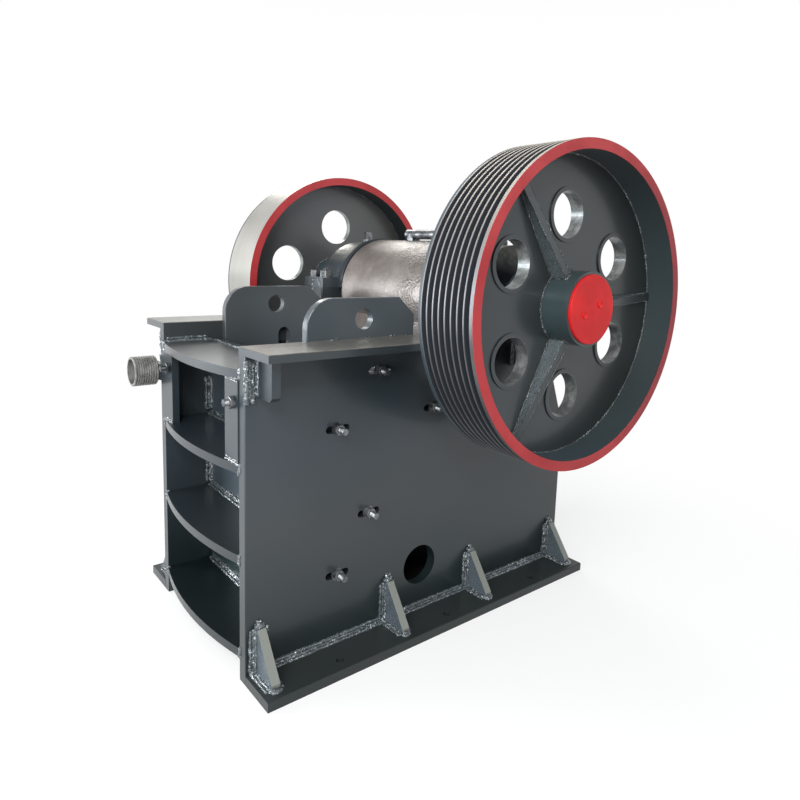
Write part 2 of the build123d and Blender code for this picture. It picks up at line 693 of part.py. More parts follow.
def spun(points, side):
    """A ring about the shaft from its half section, on the +X or the -X side."""
    with BuildPart() as ring:
        with BuildSketch(Plane(origin=(0, shaft_y, shaft_z), x_dir=(1, 0, 0), z_dir=(0, -1, 0))):
            with BuildLine():
                Polyline([(side * x, radius) for x, radius in points], close=True)
            make_face()
        revolve(axis=Axis((0, shaft_y, shaft_z), (1, 0, 0)))
    return ring.part


def wheel_rim(radius, grooved, side):
    """The rim, with belt grooves on the drive side."""
    inner_radius = radius - rim_thickness
    points = [(wheel_outer_x, inner_radius), (wheel_inner_x, inner_radius), (wheel_inner_x, radius)]
    if grooved:
        for groove in range(groove_count):
            left = wheel_inner_x + groove_land + groove * groove_pitch
            middle = left + groove_pitch / 2
            points += [(left + groove_ridge / 2, radius), (middle - groove_bottom / 2, radius - groove_depth),
                       (middle + groove_bottom / 2, radius - groove_depth),
                       (left + groove_pitch - groove_ridge / 2, radius)]
    points += [(wheel_outer_x, radius)]
    return spun(points, side)


def wheel_web(radius, inner_x, outer_x, side, hole_count, hole_circle, hole_radius, hole_start, boss_radius):
    """The disc between hub and rim, with a ring of round holes."""
    inner_radius = radius - rim_thickness
    with BuildPart() as web:
        add(spun([(inner_x, hub_radius), (inner_x, inner_radius), (outer_x, inner_radius),
                  (outer_x, hub_radius)], side))
        turns = [radians(hole_start + step * 360 / hole_count) for step in range(hole_count)]
        centres = [(shaft_y + hole_circle * cos(turn), shaft_z + hole_circle * sin(turn)) for turn in turns]
        near_x = inner_x - boss_height
        depth = outer_x - inner_x + 2 * boss_height
        if boss_radius:
            with BuildSketch(side_plane(side * near_x)):
                with Locations(*centres):
                    Circle(boss_radius)
            extrude(amount=side * depth)
        with BuildSketch(side_plane(side * near_x)):
            with Locations(*centres):
                Circle(hole_radius)
        extrude(amount=side * depth, mode=Mode.SUBTRACT)
    return web.part


# gussets between hub and rim, cut off to the rim's and the hub's rounds
wheel_gusset_thickness = 28.0
wheel_gusset_toe = 8.0
wheel_gusset_lap = 5.0


def wheel_gussets(radius, web_outer_x, rise, side, gusset_count, first_turn):
    """The gussets on the web's outer face, each midway between two holes."""
    inner_radius = radius - rim_thickness
    with BuildPart() as gussets:
        for step in range(gusset_count):
            turn = radians(first_turn + step * 360 / gusset_count)
            direction = Vector(0, cos(turn), sin(turn))
            with BuildSketch(Plane(origin=(side * web_outer_x, shaft_y, shaft_z), x_dir=direction,
                                   z_dir=direction.cross(Vector(side, 0, 0)))):
                with BuildLine():
                    Polyline([(hub_radius - wheel_gusset_lap, 0), (inner_radius + wheel_gusset_lap, 0),
                              (inner_radius + wheel_gusset_lap, wheel_gusset_toe),
                              (hub_radius - wheel_gusset_lap, rise)], close=True)
                make_face()
            extrude(amount=wheel_gusset_thickness / 2, both=True)
        add(spun([(web_outer_x, hub_radius), (web_outer_x, inner_radius), (hub_outer_x, inner_radius),
                  (hub_outer_x, hub_radius)], side), mode=Mode.INTERSECT)
    return gussets.part


def wheel_hub(side):
    """The hub on its journal."""
    return spun([(hub_inner_x, journal_radius), (hub_inner_x, hub_radius), (hub_outer_x, hub_radius),
                 (hub_outer_x, journal_radius)], side)


# each web's holes: how many, the radii of their circle and of one hole, the first one's turn, the boss
sheave_web_thickness = 40.0
flywheel_web_thickness = 28.0
sheave_holes = (6, 310.0, 78.0, 33.0, 92.0)
flywheel_holes = (5, 280.0, 84.0, 16.3, 0.0)
sheave_gusset_count = 3
flywheel_gusset_count = 5
sheave_gusset_rise = 62.0
flywheel_gusset_rise = 52.0
sheave = ("sheave", 1, sheave_radius, True, sheave_web_inner_x, sheave_web_thickness, sheave_holes,
          sheave_gusset_count, sheave_gusset_rise)
flywheel = ("flywheel", -1, flywheel_radius, False, flywheel_web_inner_x, flywheel_web_thickness,
            flywheel_holes, flywheel_gusset_count, flywheel_gusset_rise)
for name, side, radius, grooved, web_x, thickness, holes, gusset_count, rise in (sheave, flywheel):
    web_outer_x = web_x + thickness
    gusset_start = holes[3] - 180 / holes[0]
    save(wheel_rim(radius, grooved, side), f"{name}_rim")
    save(wheel_web(radius, web_x, web_outer_x, side, *holes), f"{name}_web")
    save(wheel_gussets(radius, web_outer_x, rise, side, gusset_count, gusset_start), f"{name}_gussets")
    save(wheel_hub(side), f"{name}_hub")

# end caps on the hubs
with BuildPart() as hub_caps:
    for side in (1, -1):
        with BuildSketch(side_plane(side * hub_outer_x)):
            with Locations((shaft_y, shaft_z)):
                Circle(cap_radius)
        extrude(amount=side * cap_thickness)
    chamfer(hub_caps.edges().filter_by(GeomType.CIRCLE).group_by(Axis.X)[-1], edge_break)
    chamfer(hub_caps.edges().filter_by(GeomType.CIRCLE).group_by(Axis.X)[0], edge_break)
save(hub_caps.part, "hub_caps")
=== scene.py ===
import math
import random

import bmesh
import bpy
from mathutils import Matrix, Vector, noise


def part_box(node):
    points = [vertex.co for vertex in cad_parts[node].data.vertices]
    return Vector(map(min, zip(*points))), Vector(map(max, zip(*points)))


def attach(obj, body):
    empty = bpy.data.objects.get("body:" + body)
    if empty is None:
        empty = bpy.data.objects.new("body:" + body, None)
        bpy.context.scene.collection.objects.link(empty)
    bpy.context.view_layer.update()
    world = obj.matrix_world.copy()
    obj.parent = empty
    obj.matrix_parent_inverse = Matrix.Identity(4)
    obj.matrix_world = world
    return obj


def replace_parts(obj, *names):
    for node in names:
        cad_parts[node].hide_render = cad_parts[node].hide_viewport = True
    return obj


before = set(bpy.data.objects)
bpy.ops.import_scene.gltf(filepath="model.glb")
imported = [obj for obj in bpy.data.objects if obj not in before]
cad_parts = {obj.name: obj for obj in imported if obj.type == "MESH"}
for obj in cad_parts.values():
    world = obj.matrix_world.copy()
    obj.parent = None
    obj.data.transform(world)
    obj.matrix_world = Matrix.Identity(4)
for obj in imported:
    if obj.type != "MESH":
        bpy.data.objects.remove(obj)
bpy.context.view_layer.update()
print("frame loaded")

# places read from the frame
plateLow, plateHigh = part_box("side_plate_right")
plateInner, plateOuter = plateLow.x, plateHigh.x
frontY, rearY = plateLow.y, plateHigh.y
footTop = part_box("foot_plates")[1].z
flangeLow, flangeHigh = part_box("top_flanges")
shaftLow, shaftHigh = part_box("hub_caps")
shaftY, shaftZ = (shaftLow.y + shaftHigh.y) / 2, (shaftLow.z + shaftHigh.z) / 2
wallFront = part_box("front_wall")[0].y

# ribs: how thick, and each one's part of the way from the lowest to the top one
ribs = {"thick": 0.029, "front": (0, 0.347, 0.673, 1), "rear": (0, 0.4346, 1)}


def ribMiddles(low, high, parts):
    span = high.z - low.z - ribs["thick"]
    return [low.z + ribs["thick"] / 2 + part * span for part in parts]


ribHeights = ribMiddles(*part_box("front_ribs"), ribs["front"])

# camera at the photograph's viewing point; focal, centre and picture are in pixels
camera = {
    "place": (2.12838, -1.56785, 1.37519),
    "right": (0.63127, 0.774811, 0.034161),
    "down": (0.131278, -0.063339, -0.98932),
    "forward": (-0.764372, 0.629012, -0.141699),
    "focal": 646.85, "centre": (412.86, 344.80), "picture": 800, "film": 36.0, "far": 60,
}


def makeCamera():
    data = bpy.data.cameras.new("camera")
    size, centre = camera["picture"], camera["centre"]
    data.sensor_width = camera["film"]
    data.lens = camera["focal"] / size * camera["film"]
    data.shift_x = (size / 2 - centre[0]) / size
    data.shift_y = (centre[1] - size / 2) / size
    data.clip_end = camera["far"]
    thing = bpy.data.objects.new("camera", data)
    right, up, back = Vector(camera["right"]), -Vector(camera["down"]), -Vector(camera["forward"])
    turn = Matrix((right, up, back)).transposed().to_4x4()
    thing.matrix_world = Matrix.Translation(camera["place"]) @ turn
    bpy.context.scene.collection.objects.link(thing)
    bpy.context.scene.camera = thing


makeCamera()


# a smooth change from low to high while the source goes from one value to another
def addRamp(tree, source, low, high, fromLow=0.0, fromHigh=1.0):
    node = tree.nodes.new("ShaderNodeMapRange")
    node.interpolation_type = "SMOOTHSTEP"
    for name, value in (("From Min", fromLow), ("From Max", fromHigh),
                        ("To Min", low), ("To Max", high)):
        node.inputs[name].default_value = value
    tree.links.new(source, node.inputs["Value"])
    return node.outputs["Result"]


# a short way to add and join shader nodes
class Finish:
    def __init__(self, name):
        self.material = bpy.data.materials.new(name)
        self.material.use_nodes = True
        self.tree = self.material.node_tree
        self.tree.nodes.clear()
        self.shader = self.add("BsdfPrincipled")
        out = self.add("OutputMaterial")
        self.tree.links.new(self.shader.outputs["BSDF"], out.inputs["Surface"])
        self.coords = self.add("TexCoord")
        self.normal = None

    def add(self, kind):
        return self.tree.nodes.new("ShaderNode" + kind)

    def join(self, value, socket):
        if isinstance(value, (int, float)):
            socket.default_value = value
        elif isinstance(value, tuple):
            socket.default_value = (*value, 1) if len(socket.default_value) == 4 else value
        elif value is not None:
            self.tree.links.new(value, socket)

    def place(self, scale=(1, 1, 1), move=(0, 0, 0)):
        node = self.add("Mapping")
        node.inputs["Scale"].default_value = scale
        node.inputs["Location"].default_value = move
        self.join(self.coords.outputs["Object"], node.inputs["Vector"])
        return node.outputs["Vector"]

    def noiseAt(self, scale, detail, rough, vector=None):
        node = self.add("TexNoise")
        node.inputs["Scale"].default_value = scale
        node.inputs["Detail"].default_value = detail
        node.inputs["Roughness"].default_value = rough
        self.join(vector or self.coords.outputs["Object"], node.inputs["Vector"])
        return node.outputs["Fac"]

    def cells(self, scale):
        node = self.add("TexVoronoi")
        node.inputs["Scale"].default_value = scale
        self.join(self.coords.outputs["Object"], node.inputs["Vector"])
        return node.outputs["Distance"]

    def ramp(self, source, *ends):
        return addRamp(self.tree, source, *ends)

    def math(self, how, a, b=None):
        node = self.add("Math")
        node.operation = how
        self.join(a, node.inputs[0])
        self.join(b, node.inputs[1])
        return node.outputs[0]

    def times(self, a, b):
        return self.math("MULTIPLY", a, b)

    def mix(self, factor, a, b):
        node = self.add("Mix")
        node.data_type = "RGBA"
        for index, value in ((0, factor), (6, a), (7, b)):
            self.join(value, node.inputs[index])
        return node.outputs[2]

    def bump(self, source, distance, strength):
        node = self.add("Bump")
        node.inputs["Strength"].default_value = strength
        node.inputs["Distance"].default_value = distance
        self.join(source, node.inputs["Height"])
        self.join(self.normal, node.inputs["Normal"])
        self.normal = node.outputs["Normal"]
        self.join(self.normal, self.shader.inputs["Normal"])

    def into(self, source, name):
        self.join(source, self.shader.inputs[name])

    def split(self, vector):
        node = self.add("SeparateXYZ")
        self.join(vector, node.inputs["Vector"])
        return node.outputs["X"], node.outputs["Y"], node.outputs["Z"]

    def axes(self):
        return self.split(self.coords.outputs["Object"])

    # place along the shaft, distance from its axis and turn about it
    def wheelPlace(self):
        x, y, z = self.axes()
        y = self.math("SUBTRACT", y, shaftY)
        z = self.math("SUBTRACT", z, shaftZ)
        square = self.math("ADD", self.times(y, y), self.times(z, z))
        return x, self.math("SQRT", square), self.math("ARCTAN2", z, y)

    # noise brought into a range
    def drift(self, scale, detail, rough, low, high, fromLow=0.0, fromHigh=1.0, vector=None):
        return self.ramp(self.noiseAt(scale, detail, rough, vector), low, high, fromLow, fromHigh)

    # bumps from noise
    def relief(self, scale, detail, rough, distance, strength):
        self.bump(self.noiseAt(scale, detail, rough), distance, strength)


# noise in the tables below gives scale, detail and roughness, then the two results and the noise that
# makes each; relief gives scale, detail, roughness, depth and strength
# in enamel, rear and low are painted shade: the colours it takes towards the rear and towards the foot
enamel = {
    "dark": (0.020, 0.029, 0.036), "light": (0.037, 0.045, 0.054), "warm": (0.036, 0.037, 0.034),
    "rear": (0.013, 0.016, 0.015), "low": (0.006, 0.012, 0.012), "dustAndSheen": (0.12, 0.125, 0.12),
    "drift": (1.6, 2, 0.55, 0, 1, 0.3, 0.7), "specks": (95, 3, 0.6, 0, 0.5, 0.70, 0.78),
    "warmth": (0.9, 2, 0.5, 0, 0.7, 0.4, 0.7), "warmMove": (3.1, 0.4, 1.7),
    "rearShade": (0, 0.75, -0.25, 0.75), "downwards": (0.8, 0, 0.12, 0.55),
    "rough": (3, 3, 0.55, 0.285, 0.37, 0.3, 0.7), "gloss": 0.5, "tint": (0.88, 0.95, 1.0),
    "coat": 0.22, "coatRough": 0.14, "relief": (140, 2, 0.55, 0.0005, 0.2),
}


# gloss enamel over plate: a slow drift from blue-grey to brown-grey, with a few dusty specks, and darker
# towards the rear and towards the foot as painted shade; the lift, by one number or one for each colour,
# makes a paler lit copy as painted light, and below 1 a darker shaded copy as painted shade
def enamelColour(finish, lift=1.0):
    lifts = lift if isinstance(lift, tuple) else (lift, lift, lift)
    dark, light, rear, low = (tuple(part * more for part, more in zip(enamel[key], lifts))
                              for key in ("dark", "light", "rear", "low"))
    colour = finish.mix(finish.drift(*enamel["drift"]), dark, light)
    warmth = finish.drift(*enamel["warmth"], finish.place(move=enamel["warmMove"]))
    colour = finish.mix(warmth, colour, enamel["warm"])
    # painted shade: darker towards the rear and towards the foot
    y, z = finish.axes()[1:]
    colour = finish.mix(finish.ramp(y, *enamel["rearShade"]), colour, rear)
    colour = finish.mix(finish.ramp(z, *enamel["downwards"]), colour, low)
    return finish.mix(finish.drift(*enamel["specks"]), colour, enamel["dustAndSheen"])


def enamelSurface(finish, gloss=enamel["gloss"]):
    finish.into(finish.drift(*enamel["rough"]), "Roughness")
    finish.into(enamel["tint"], "Specular Tint")
    finish.into(gloss, "Specular IOR Level")
    finish.into(enamel["coat"], "Coat Weight")
    finish.into(enamel["coatRough"], "Coat Roughness")
    finish.relief(*enamel["relief"])


def makeEnamel(name, lift=1.0, gloss=enamel["gloss"]):
    finish = Finish(name)
    finish.into(enamelColour(finish, lift), "Base Color")
    enamelSurface(finish, gloss)
    return finish.material


# bearing caps: rough castings under the enamel, which is lifted paler as painted light, with pale dust
# settled on their crowns, which start and end at two heights above the shaft
crown = {"start": 0.10, "end": 0.18, "patch": (38, 5, 0.65, 0.35, 0.95, 0.3, 0.68), "lift": 1.5,
         "dustAndSheen": (0.29, 0.28, 0.24), "relief": (60, 4, 0.6, 0.004, 0.6)}


def makeCrown():
    finish = Finish("crownEnamel")
    top = finish.ramp(finish.axes()[2], 0, 1, shaftZ + crown["start"], shaftZ + crown["end"])
    dustAndSheen = finish.times(top, finish.drift(*crown["patch"]))
    finish.into(finish.mix(dustAndSheen, enamelColour(finish, crown["lift"]), crown["dustAndSheen"]), "Base Color")
    enamelSurface(finish)
    finish.relief(*crown["relief"])
    return finish.material


# flanges: a warm pale colour in patches on their upper side, between two depths below it: a painted
# sheen
flangeSheen = {"none": 0.003, "full": 0.001, "patch": (34, 5, 0.62, 0.4, 0.8, 0.3, 0.7),
         "dustAndSheen": (0.20, 0.185, 0.155)}


def makeFlange():
    finish = Finish("flangeEnamel")
    top = finish.ramp(finish.axes()[2], 0, 1, flangeHigh.z - flangeSheen["none"], flangeHigh.z - flangeSheen["full"])
    dustAndSheen = finish.times(top, finish.drift(*flangeSheen["patch"]))
    finish.into(finish.mix(dustAndSheen, enamelColour(finish), flangeSheen["dustAndSheen"]), "Base Color")
    enamelSurface(finish)
    return finish.material


red = {"dark": (0.50, 0.010, 0.012), "light": (0.64, 0.014, 0.015), "rimDark": (0.32, 0.020, 0.024),
       "rimLight": (0.41, 0.035, 0.040), "drift": (6, 4, 0.55, 0, 1, 0.35, 0.65),
       "rough": (20, 3, 0.55, 0.37, 0.50), "gloss": 0.28, "relief": (150, 2, 0.55, 0.0005, 0.3)}


def redColour(finish, dark, light):
    return finish.mix(finish.drift(*red["drift"]), red[dark], red[light])


def makeRed():
    finish = Finish("redEnamel")
    finish.into(redColour(finish, "dark", "light"), "Base Color")
    finish.into(finish.drift(*red["rough"]), "Roughness")
    finish.into(red["gloss"], "Specular IOR Level")
    finish.relief(*red["relief"])
    return finish.material


# gussets: sandy, unground plate under thin enamel; the edges that face along the shaft and the sides get
# paler colours of their own as painted light, the edges also a share of grain of their own, and None
# leaves edges or sides plain enamel
sandy = {"facing": 0.5, "grain": (260, 4, 0.7, 0.15, 0.95, 0.44, 0.64),
         "relief": (240, 3, 0.55, 0.0015, 0.6)}


def makeSandy(name, edge, side, grainColour, edgeGrain):
    finish = Finish(name)
    shape = finish.add("NewGeometry")
    facing = finish.math("ABSOLUTE", finish.split(shape.outputs["True Normal"])[0])
    facing = finish.math("GREATER_THAN", facing, sandy["facing"])
    enamelled = enamelColour(finish)
    # painted light: paler copies of the enamel on the edges and on the sides
    litGround = finish.mix(facing, side or enamelled, edge or enamelled)
    grain = finish.times(finish.drift(*sandy["grain"]), finish.ramp(facing, 1, edgeGrain))
    finish.into(finish.mix(grain, litGround, grainColour), "Base Color")
    enamelSurface(finish)
    finish.relief(*sandy["relief"])
    return finish.material


# rims: where the red band starts and ends along the shaft; the bare metal's colour, roughness and
# share of metal, where it starts and ends, and the radius above which it shows; the radius of the
# grooves' floors; the enamel's lift, a paler copy as painted light; and the painted highlight on the
# upper crests
rims = {
    "sheave": {"red": (0.8530, 0.9), "bare": (0.175, 0.175, 0.185), "rough": 0.45, "metal": 0.5,
               "start": 0.6280, "end": 0.8530, "above": 0.5436, "floors": 0.516,
               "lift": (2.1, 2.35, 2.45), "crestHighlight": (0.62, 0.57, 0.51)},
    "flywheel": {"red": (-0.6180, -0.6), "bare": (0.46, 0.445, 0.41), "rough": 0.36, "metal": 0.5,
                 "start": 0.6, "end": 0.8440, "above": 0.5136, "floors": 0.486, "lift": 1.5},
}
# the ramps up and towards the rear place a painted highlight on the crests and painted shade on the red
# band
rimWear = {
    "streak": (1, 4, 0.6, 0.75, 1, 0.3, 0.7), "streakScale": (160, 3, 3),
    "broad": (1, 2, 0.5, 0.25, 1, 0.36, 0.62), "broadScale": (0.6, 2.6, 2.6), "dullest": 0.3,
    "paintedTopLight": (0, 1, 1.28, 1.66), "rearShade": (0, 0.5, 0.36, 0.66), "rearShadeRed": (0.15, 0.006, 0.014),
    "flanks": (0.018, 0.022, 0.028), "rough": (9, 4, 0.55), "smoother": 0.03, "rougher": 0.06,
    "gloss": 0.35,
}


# enamel, a red band on one face, and bare metal where belts or tools have run; on the sheave, a painted
# highlight on the upper crests and painted shade on the red band towards the rear
def makeRim(name, size):
    finish = Finish(name)
    along, radius = finish.wheelPlace()[:2]
    reach = finish.math("ABSOLUTE", along)
    worn = finish.times(finish.math("LESS_THAN", reach, size["end"]),
                        finish.math("GREATER_THAN", reach, size["start"]))
    bare = finish.times(worn, finish.math("GREATER_THAN", radius, size["above"]))
    streak = finish.drift(*rimWear["streak"], finish.place(scale=rimWear["streakScale"]))
    broad = finish.drift(*rimWear["broad"], finish.place(scale=rimWear["broadScale"]))
    dull = tuple(part * rimWear["dullest"] for part in size["bare"])
    metal = finish.mix(finish.times(streak, broad), dull, size["bare"])
    ringRed = redColour(finish, "rimDark", "rimLight")
    # painted highlight on the upper crests and painted shade on the red band towards the rear
    if "crestHighlight" in size:
        y, z = finish.axes()[1:]
        metal = finish.mix(finish.ramp(z, *rimWear["paintedTopLight"]), metal, size["crestHighlight"])
        ringRed = finish.mix(finish.ramp(y, *rimWear["rearShade"]), ringRed, rimWear["rearShadeRed"])
    sunk = finish.times(worn, finish.math("GREATER_THAN", radius, size["floors"]))
    colour = finish.mix(sunk, enamelColour(finish, size["lift"]), rimWear["flanks"])
    colour = finish.mix(bare, colour, metal)
    face = finish.times(finish.math("GREATER_THAN", along, size["red"][0]),
                        finish.math("LESS_THAN", along, size["red"][1]))
    finish.into(finish.mix(face, colour, ringRed), "Base Color")
    bareOnly = finish.times(bare, finish.math("SUBTRACT", 1.0, face))
    finish.into(finish.times(bareOnly, size["metal"]), "Metallic")
    low, high = size["rough"] - rimWear["smoother"], size["rough"] + rimWear["rougher"]
    finish.into(finish.drift(*rimWear["rough"], low, high), "Roughness")
    finish.into(rimWear["gloss"], "Specular IOR Level")
    finish.relief(*enamel["relief"])
    return finish.material


# webs: enamel, lifted paler as painted light where asked, with the bored walls of the round holes left
# brighter; shift adds whole shares, which keeps the count positive, and a half, which puts each hole in
# the middle of its share
bored = {"shift": 20.5, "beyond": 0.0007, "speck": (24, 4, 0.7, 0, 1, 0.40, 0.66),
         "dark": (0.11, 0.12, 0.12), "bright": (0.27, 0.275, 0.265), "metal": 0.25}


def makeWeb(name, lift, count, circle, start, bore):
    finish = Finish(name)
    radius, turn = finish.wheelPlace()[1:]
    step = 2 * math.pi / count
    turned = finish.math("DIVIDE", finish.math("SUBTRACT", turn, math.radians(start)), step)
    share = finish.math("FRACT", finish.math("ADD", turned, bored["shift"]))
    offset = finish.times(finish.math("SUBTRACT", share, 0.5), step)
    squares = finish.math("ADD", finish.times(radius, radius), circle * circle)
    crossed = finish.times(finish.times(radius, 2 * circle), finish.math("COSINE", offset))
    reach = finish.math("SQRT", finish.math("MAXIMUM", finish.math("SUBTRACT", squares, crossed), 0.0))
    wall = finish.math("LESS_THAN", reach, bore + bored["beyond"])
    bright = finish.mix(finish.drift(*bored["speck"]), bored["dark"], bored["bright"])
    finish.into(finish.mix(wall, enamelColour(finish, lift), bright), "Base Color")
    enamelSurface(finish)
    finish.into(finish.times(wall, bored["metal"]), "Metallic")
    return finish.material


# the jaw casting: warm grey, darker on its crest as painted shade that tones down the lamps' highlight
# there, darker lower down, and stippled towards the drive side
cast = {
    "dark": (0.150, 0.132, 0.121), "light": (0.250, 0.222, 0.207),
    "drift": (7, 6, 0.68, 0, 1, 0.34, 0.66), "patch": (5, 3, 0.55, 0.25, 1, 0.40, 0.60),
    "cells": 110, "pits": (1, 0, 0.16, 0.42), "pitDark": (0.050, 0.045, 0.040),
    "pitRelief": (0.004, 0.7), "drivewards": (0.03, 0.75, -0.20, 0.14),
    "paintedTopLight": (0, 0.6, 1.30, 1.39), "crest": (0.085, 0.076, 0.069),
    "downwards": (1, 0, 0.72, 0.98), "lowerDark": (0.016, 0.018, 0.016),
    "metal": 0.3, "rough": (40, 4, 0.55, 0.29, 0.46), "relief": (60, 4, 0.7, 0.0018, 0.25),
}


def makeCast():
    finish = Finish("castSteel")
    x, z = finish.axes()[::2]
    cells = finish.cells(cast["cells"])
    zone = finish.times(finish.drift(*cast["patch"]), finish.ramp(x, *cast["drivewards"]))
    colour = finish.mix(finish.drift(*cast["drift"]), cast["dark"], cast["light"])
    pits = finish.times(finish.ramp(cells, *cast["pits"]), zone)
    colour = finish.mix(pits, colour, cast["pitDark"])
    # painted shade on the crest, then darker lower down
    colour = finish.mix(finish.ramp(z, *cast["paintedTopLight"]), colour, cast["crest"])
    finish.into(finish.mix(finish.ramp(z, *cast["downwards"]), colour, cast["lowerDark"]), "Base Color")
    finish.into(cast["metal"], "Metallic")
    finish.into(finish.drift(*cast["rough"]), "Roughness")
    finish.relief(*cast["relief"])
    finish.bump(finish.times(cells, zone), *cast["pitRelief"])
    return finish.material


liner = {"dark": (0.045, 0.046, 0.048), "light": (0.11, 0.105, 0.10), "metal": 0.6,
         "drift": (8, 5, 0.6, 0, 1, 0.35, 0.65), "rough": (30, 4, 0.55, 0.38, 0.6),
         "relief": (90, 4, 0.7, 0.002, 0.5)}


def makeLiner():
    finish = Finish("linerSteel")
    finish.into(finish.mix(finish.drift(*liner["drift"]), liner["dark"], liner["light"]), "Base Color")
    finish.into(liner["metal"], "Metallic")
    finish.into(finish.drift(*liner["rough"]), "Roughness")
    finish.relief(*liner["relief"])
    return finish.material


steel = {"drift": (34, 4, 0.55, 0, 1, 0.35, 0.65), "rough": (60, 3, 0.55), "smoother": 0.04,
         "rougher": 0.08, "relief": (260, 2, 0.55, 0.0004, 0.3)}


def makeSteel(name, dark, light, rough, metal=1.0):
    finish = Finish(name)
    finish.into(finish.mix(finish.drift(*steel["drift"]), dark, light), "Base Color")
    finish.into(metal, "Metallic")
    low, high = rough - steel["smoother"], rough + steel["rougher"]
    finish.into(finish.drift(*steel["rough"], low, high), "Roughness")
    finish.relief(*steel["relief"])
    return finish.material


# painted weld: enamel with bright flecks painted into its colour as painted glints where the ripples
# would catch the light;
# grain sets how fine they are, fewest how rare, and quiet how many are left in the dull stretches
painted = {"fleck": (4, 0.65), "fleckEdge": 0.07, "broad": (14, 2, 0.55), "broadEnds": (0.42, 0.60),
           "glint": (0.54, 0.59, 0.62), "metal": 0.35, "rough": 0.16, "coatRough": 0.06,
           "relief": (95, 4, 0.7, 0.006, 0.9)}


def makeWeld(name, grain, fewest, quiet, base, coat):
    finish = Finish(name)
    fleck = finish.drift(grain, *painted["fleck"], 0, 1, fewest, fewest + painted["fleckEdge"])
    broad = finish.drift(*painted["broad"], quiet, 1, *painted["broadEnds"])
    glint = finish.times(fleck, broad)
    finish.into(finish.mix(glint, base, painted["glint"]), "Base Color")
    finish.into(finish.times(glint, painted["metal"]), "Metallic")
    finish.into(painted["rough"], "Roughness")
    finish.into(coat, "Coat Weight")
    finish.into(painted["coatRough"], "Coat Roughness")
    finish.relief(*painted["relief"])
    return finish.material


# holes: how many, the radius of their circle, the first one's turn, the radius of one;
# gussets: how many, the first one's turn, their rise at the hub;
# rim: its inner radius; side: which way along the shaft the wheel's outer face looks
wheels = {
    "sheave": {"holes": (6, 0.310, 33.0, 0.078), "gussets": (3, 3.0, 0.062), "rim": 0.511, "side": 1},
    "flywheel": {"holes": (5, 0.280, 16.3, 0.084), "gussets": (5, -19.7, 0.052), "rim": 0.481,
                 "side": -1},
}

paint = makeEnamel("frameEnamel")
redPaint = makeRed()
fastenerSteel = makeSteel("fastenerSteel", (0.045, 0.05, 0.055), (0.22, 0.23, 0.24), 0.32, 0.7)
# the frame welds' enamel base is paler than the frame's: painted light
weldPaint = makeWeld("paintedWeld", 120, 0.54, 0.15, (0.055, 0.070, 0.079), 0.8)
wheelWeldPaint = makeWeld("wheelWeld", 230, 0.55, 0.05, (0.030, 0.037, 0.041), 0.25)

# each finish and the nodes that it goes on; plain enamel goes on all others
# the enamels lifted above 1 here are lit copies of the frame enamel, painted light, and the ribs'
# enamel, below 1, a shaded copy, painted shade
finishes = (
    (makeEnamel("litCheekEnamel", (3.0, 2.75, 2.55)), "cheek_plates"),
    (makeEnamel("wallEnamel", 2.1), "front_wall"),
    (makeEnamel("ribEnamel", 0.7), "front_ribs"),
    (makeEnamel("footEnamel", (2.7, 1.9, 1.8), 0.2), "foot_plates"),
    (makeEnamel("hubEnamel", (1.9, 2.6, 2.6)), "sheave_hub flywheel_hub"),
    (makeCrown(), "housing_caps"),
    (makeFlange(), "top_flanges"),
    (redPaint, "hub_caps"),
    (makeCast(), "swing_jaw toggle_block toggle_plate liner_ledge"),
    (makeLiner(), "fixed_jaw_plate swing_jaw_plate lower_cheek_plates"),
    (makeSteel("brightSteel", (0.36, 0.36, 0.355), (0.62, 0.62, 0.61), 0.32),
     "eccentric_shaft tension_rod"),
    (makeSteel("sleeveGrey", (0.145, 0.145, 0.133), (0.235, 0.235, 0.22), 0.42, 0.2), "ribbed_sleeve"),
    (fastenerSteel, "jaw_lifting_bar tension_spring spring_seats housing_bolts grease_caps clamp_studs"),
    (makeSandy("sandyEnamel", (0.175, 0.182, 0.16), (0.035, 0.052, 0.072), (0.16, 0.19, 0.20), 0.12),
     "foot_gussets"),
    (makeSandy("wheelGussetEnamel", None, None, (0.17, 0.21, 0.225), 0.0),
     "sheave_gussets flywheel_gussets"),
    (makeRim("sheavePaint", rims["sheave"]), "sheave_rim"),
    (makeRim("flywheelPaint", rims["flywheel"]), "flywheel_rim"),
    (makeWeb("sheaveWebPaint", 1.0, *wheels["sheave"]["holes"]), "sheave_web"),
    (makeWeb("flywheelWebPaint", (3.4, 2.6, 2.3), *wheels["flywheel"]["holes"]), "flywheel_web"),
)
nodeFinish = {name: finish for finish, names in finishes for name in names.split()}
for name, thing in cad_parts.items():
    finish = nodeFinish.get(name, paint)
    thing.data.materials.clear()
    thing.data.materials.append(finish)
print("materials set")


def addObject(name, mesh, finish, body="frame", smooth=True):
    data = bpy.data.meshes.new(name)
    mesh.to_mesh(data)
    mesh.free()
    data.materials.append(finish)
    for face in data.polygons:
        face.use_smooth = smooth
    thing = bpy.data.objects.new(name, data)
    bpy.context.scene.collection.objects.link(thing)
    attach(thing, body)
    return thing


def mergeInto(mesh, part):
    data = bpy.data.meshes.new("part")
    part.to_mesh(data)
    part.free()
    mesh.from_mesh(data)
    bpy.data.meshes.remove(data)


# weld beads: a slim rod cut along its length and made lumpy, laid in up to three passes;
# ripple: pitch and depth; lumps: scale and size; near: how close to its end a point counts as the end;
# spread, outer and slip: how far out the outer passes lie, how thin they are, how uneven their ends
weld = {"sides": 9, "step": 0.0055, "fewestCuts": 2, "ringStep": 0.0085, "ripple": (0.0105, 0.16),
        "lumps": ((80, 0.55), (210, 0.4)), "endTaper": 0.35, "near": 1e-5, "spread": 1.25,
        "outer": 0.6, "slip": 0.01}


def roughen(spot):
    return sum(noise.noise(spot * scale) * size for scale, size in weld["lumps"])


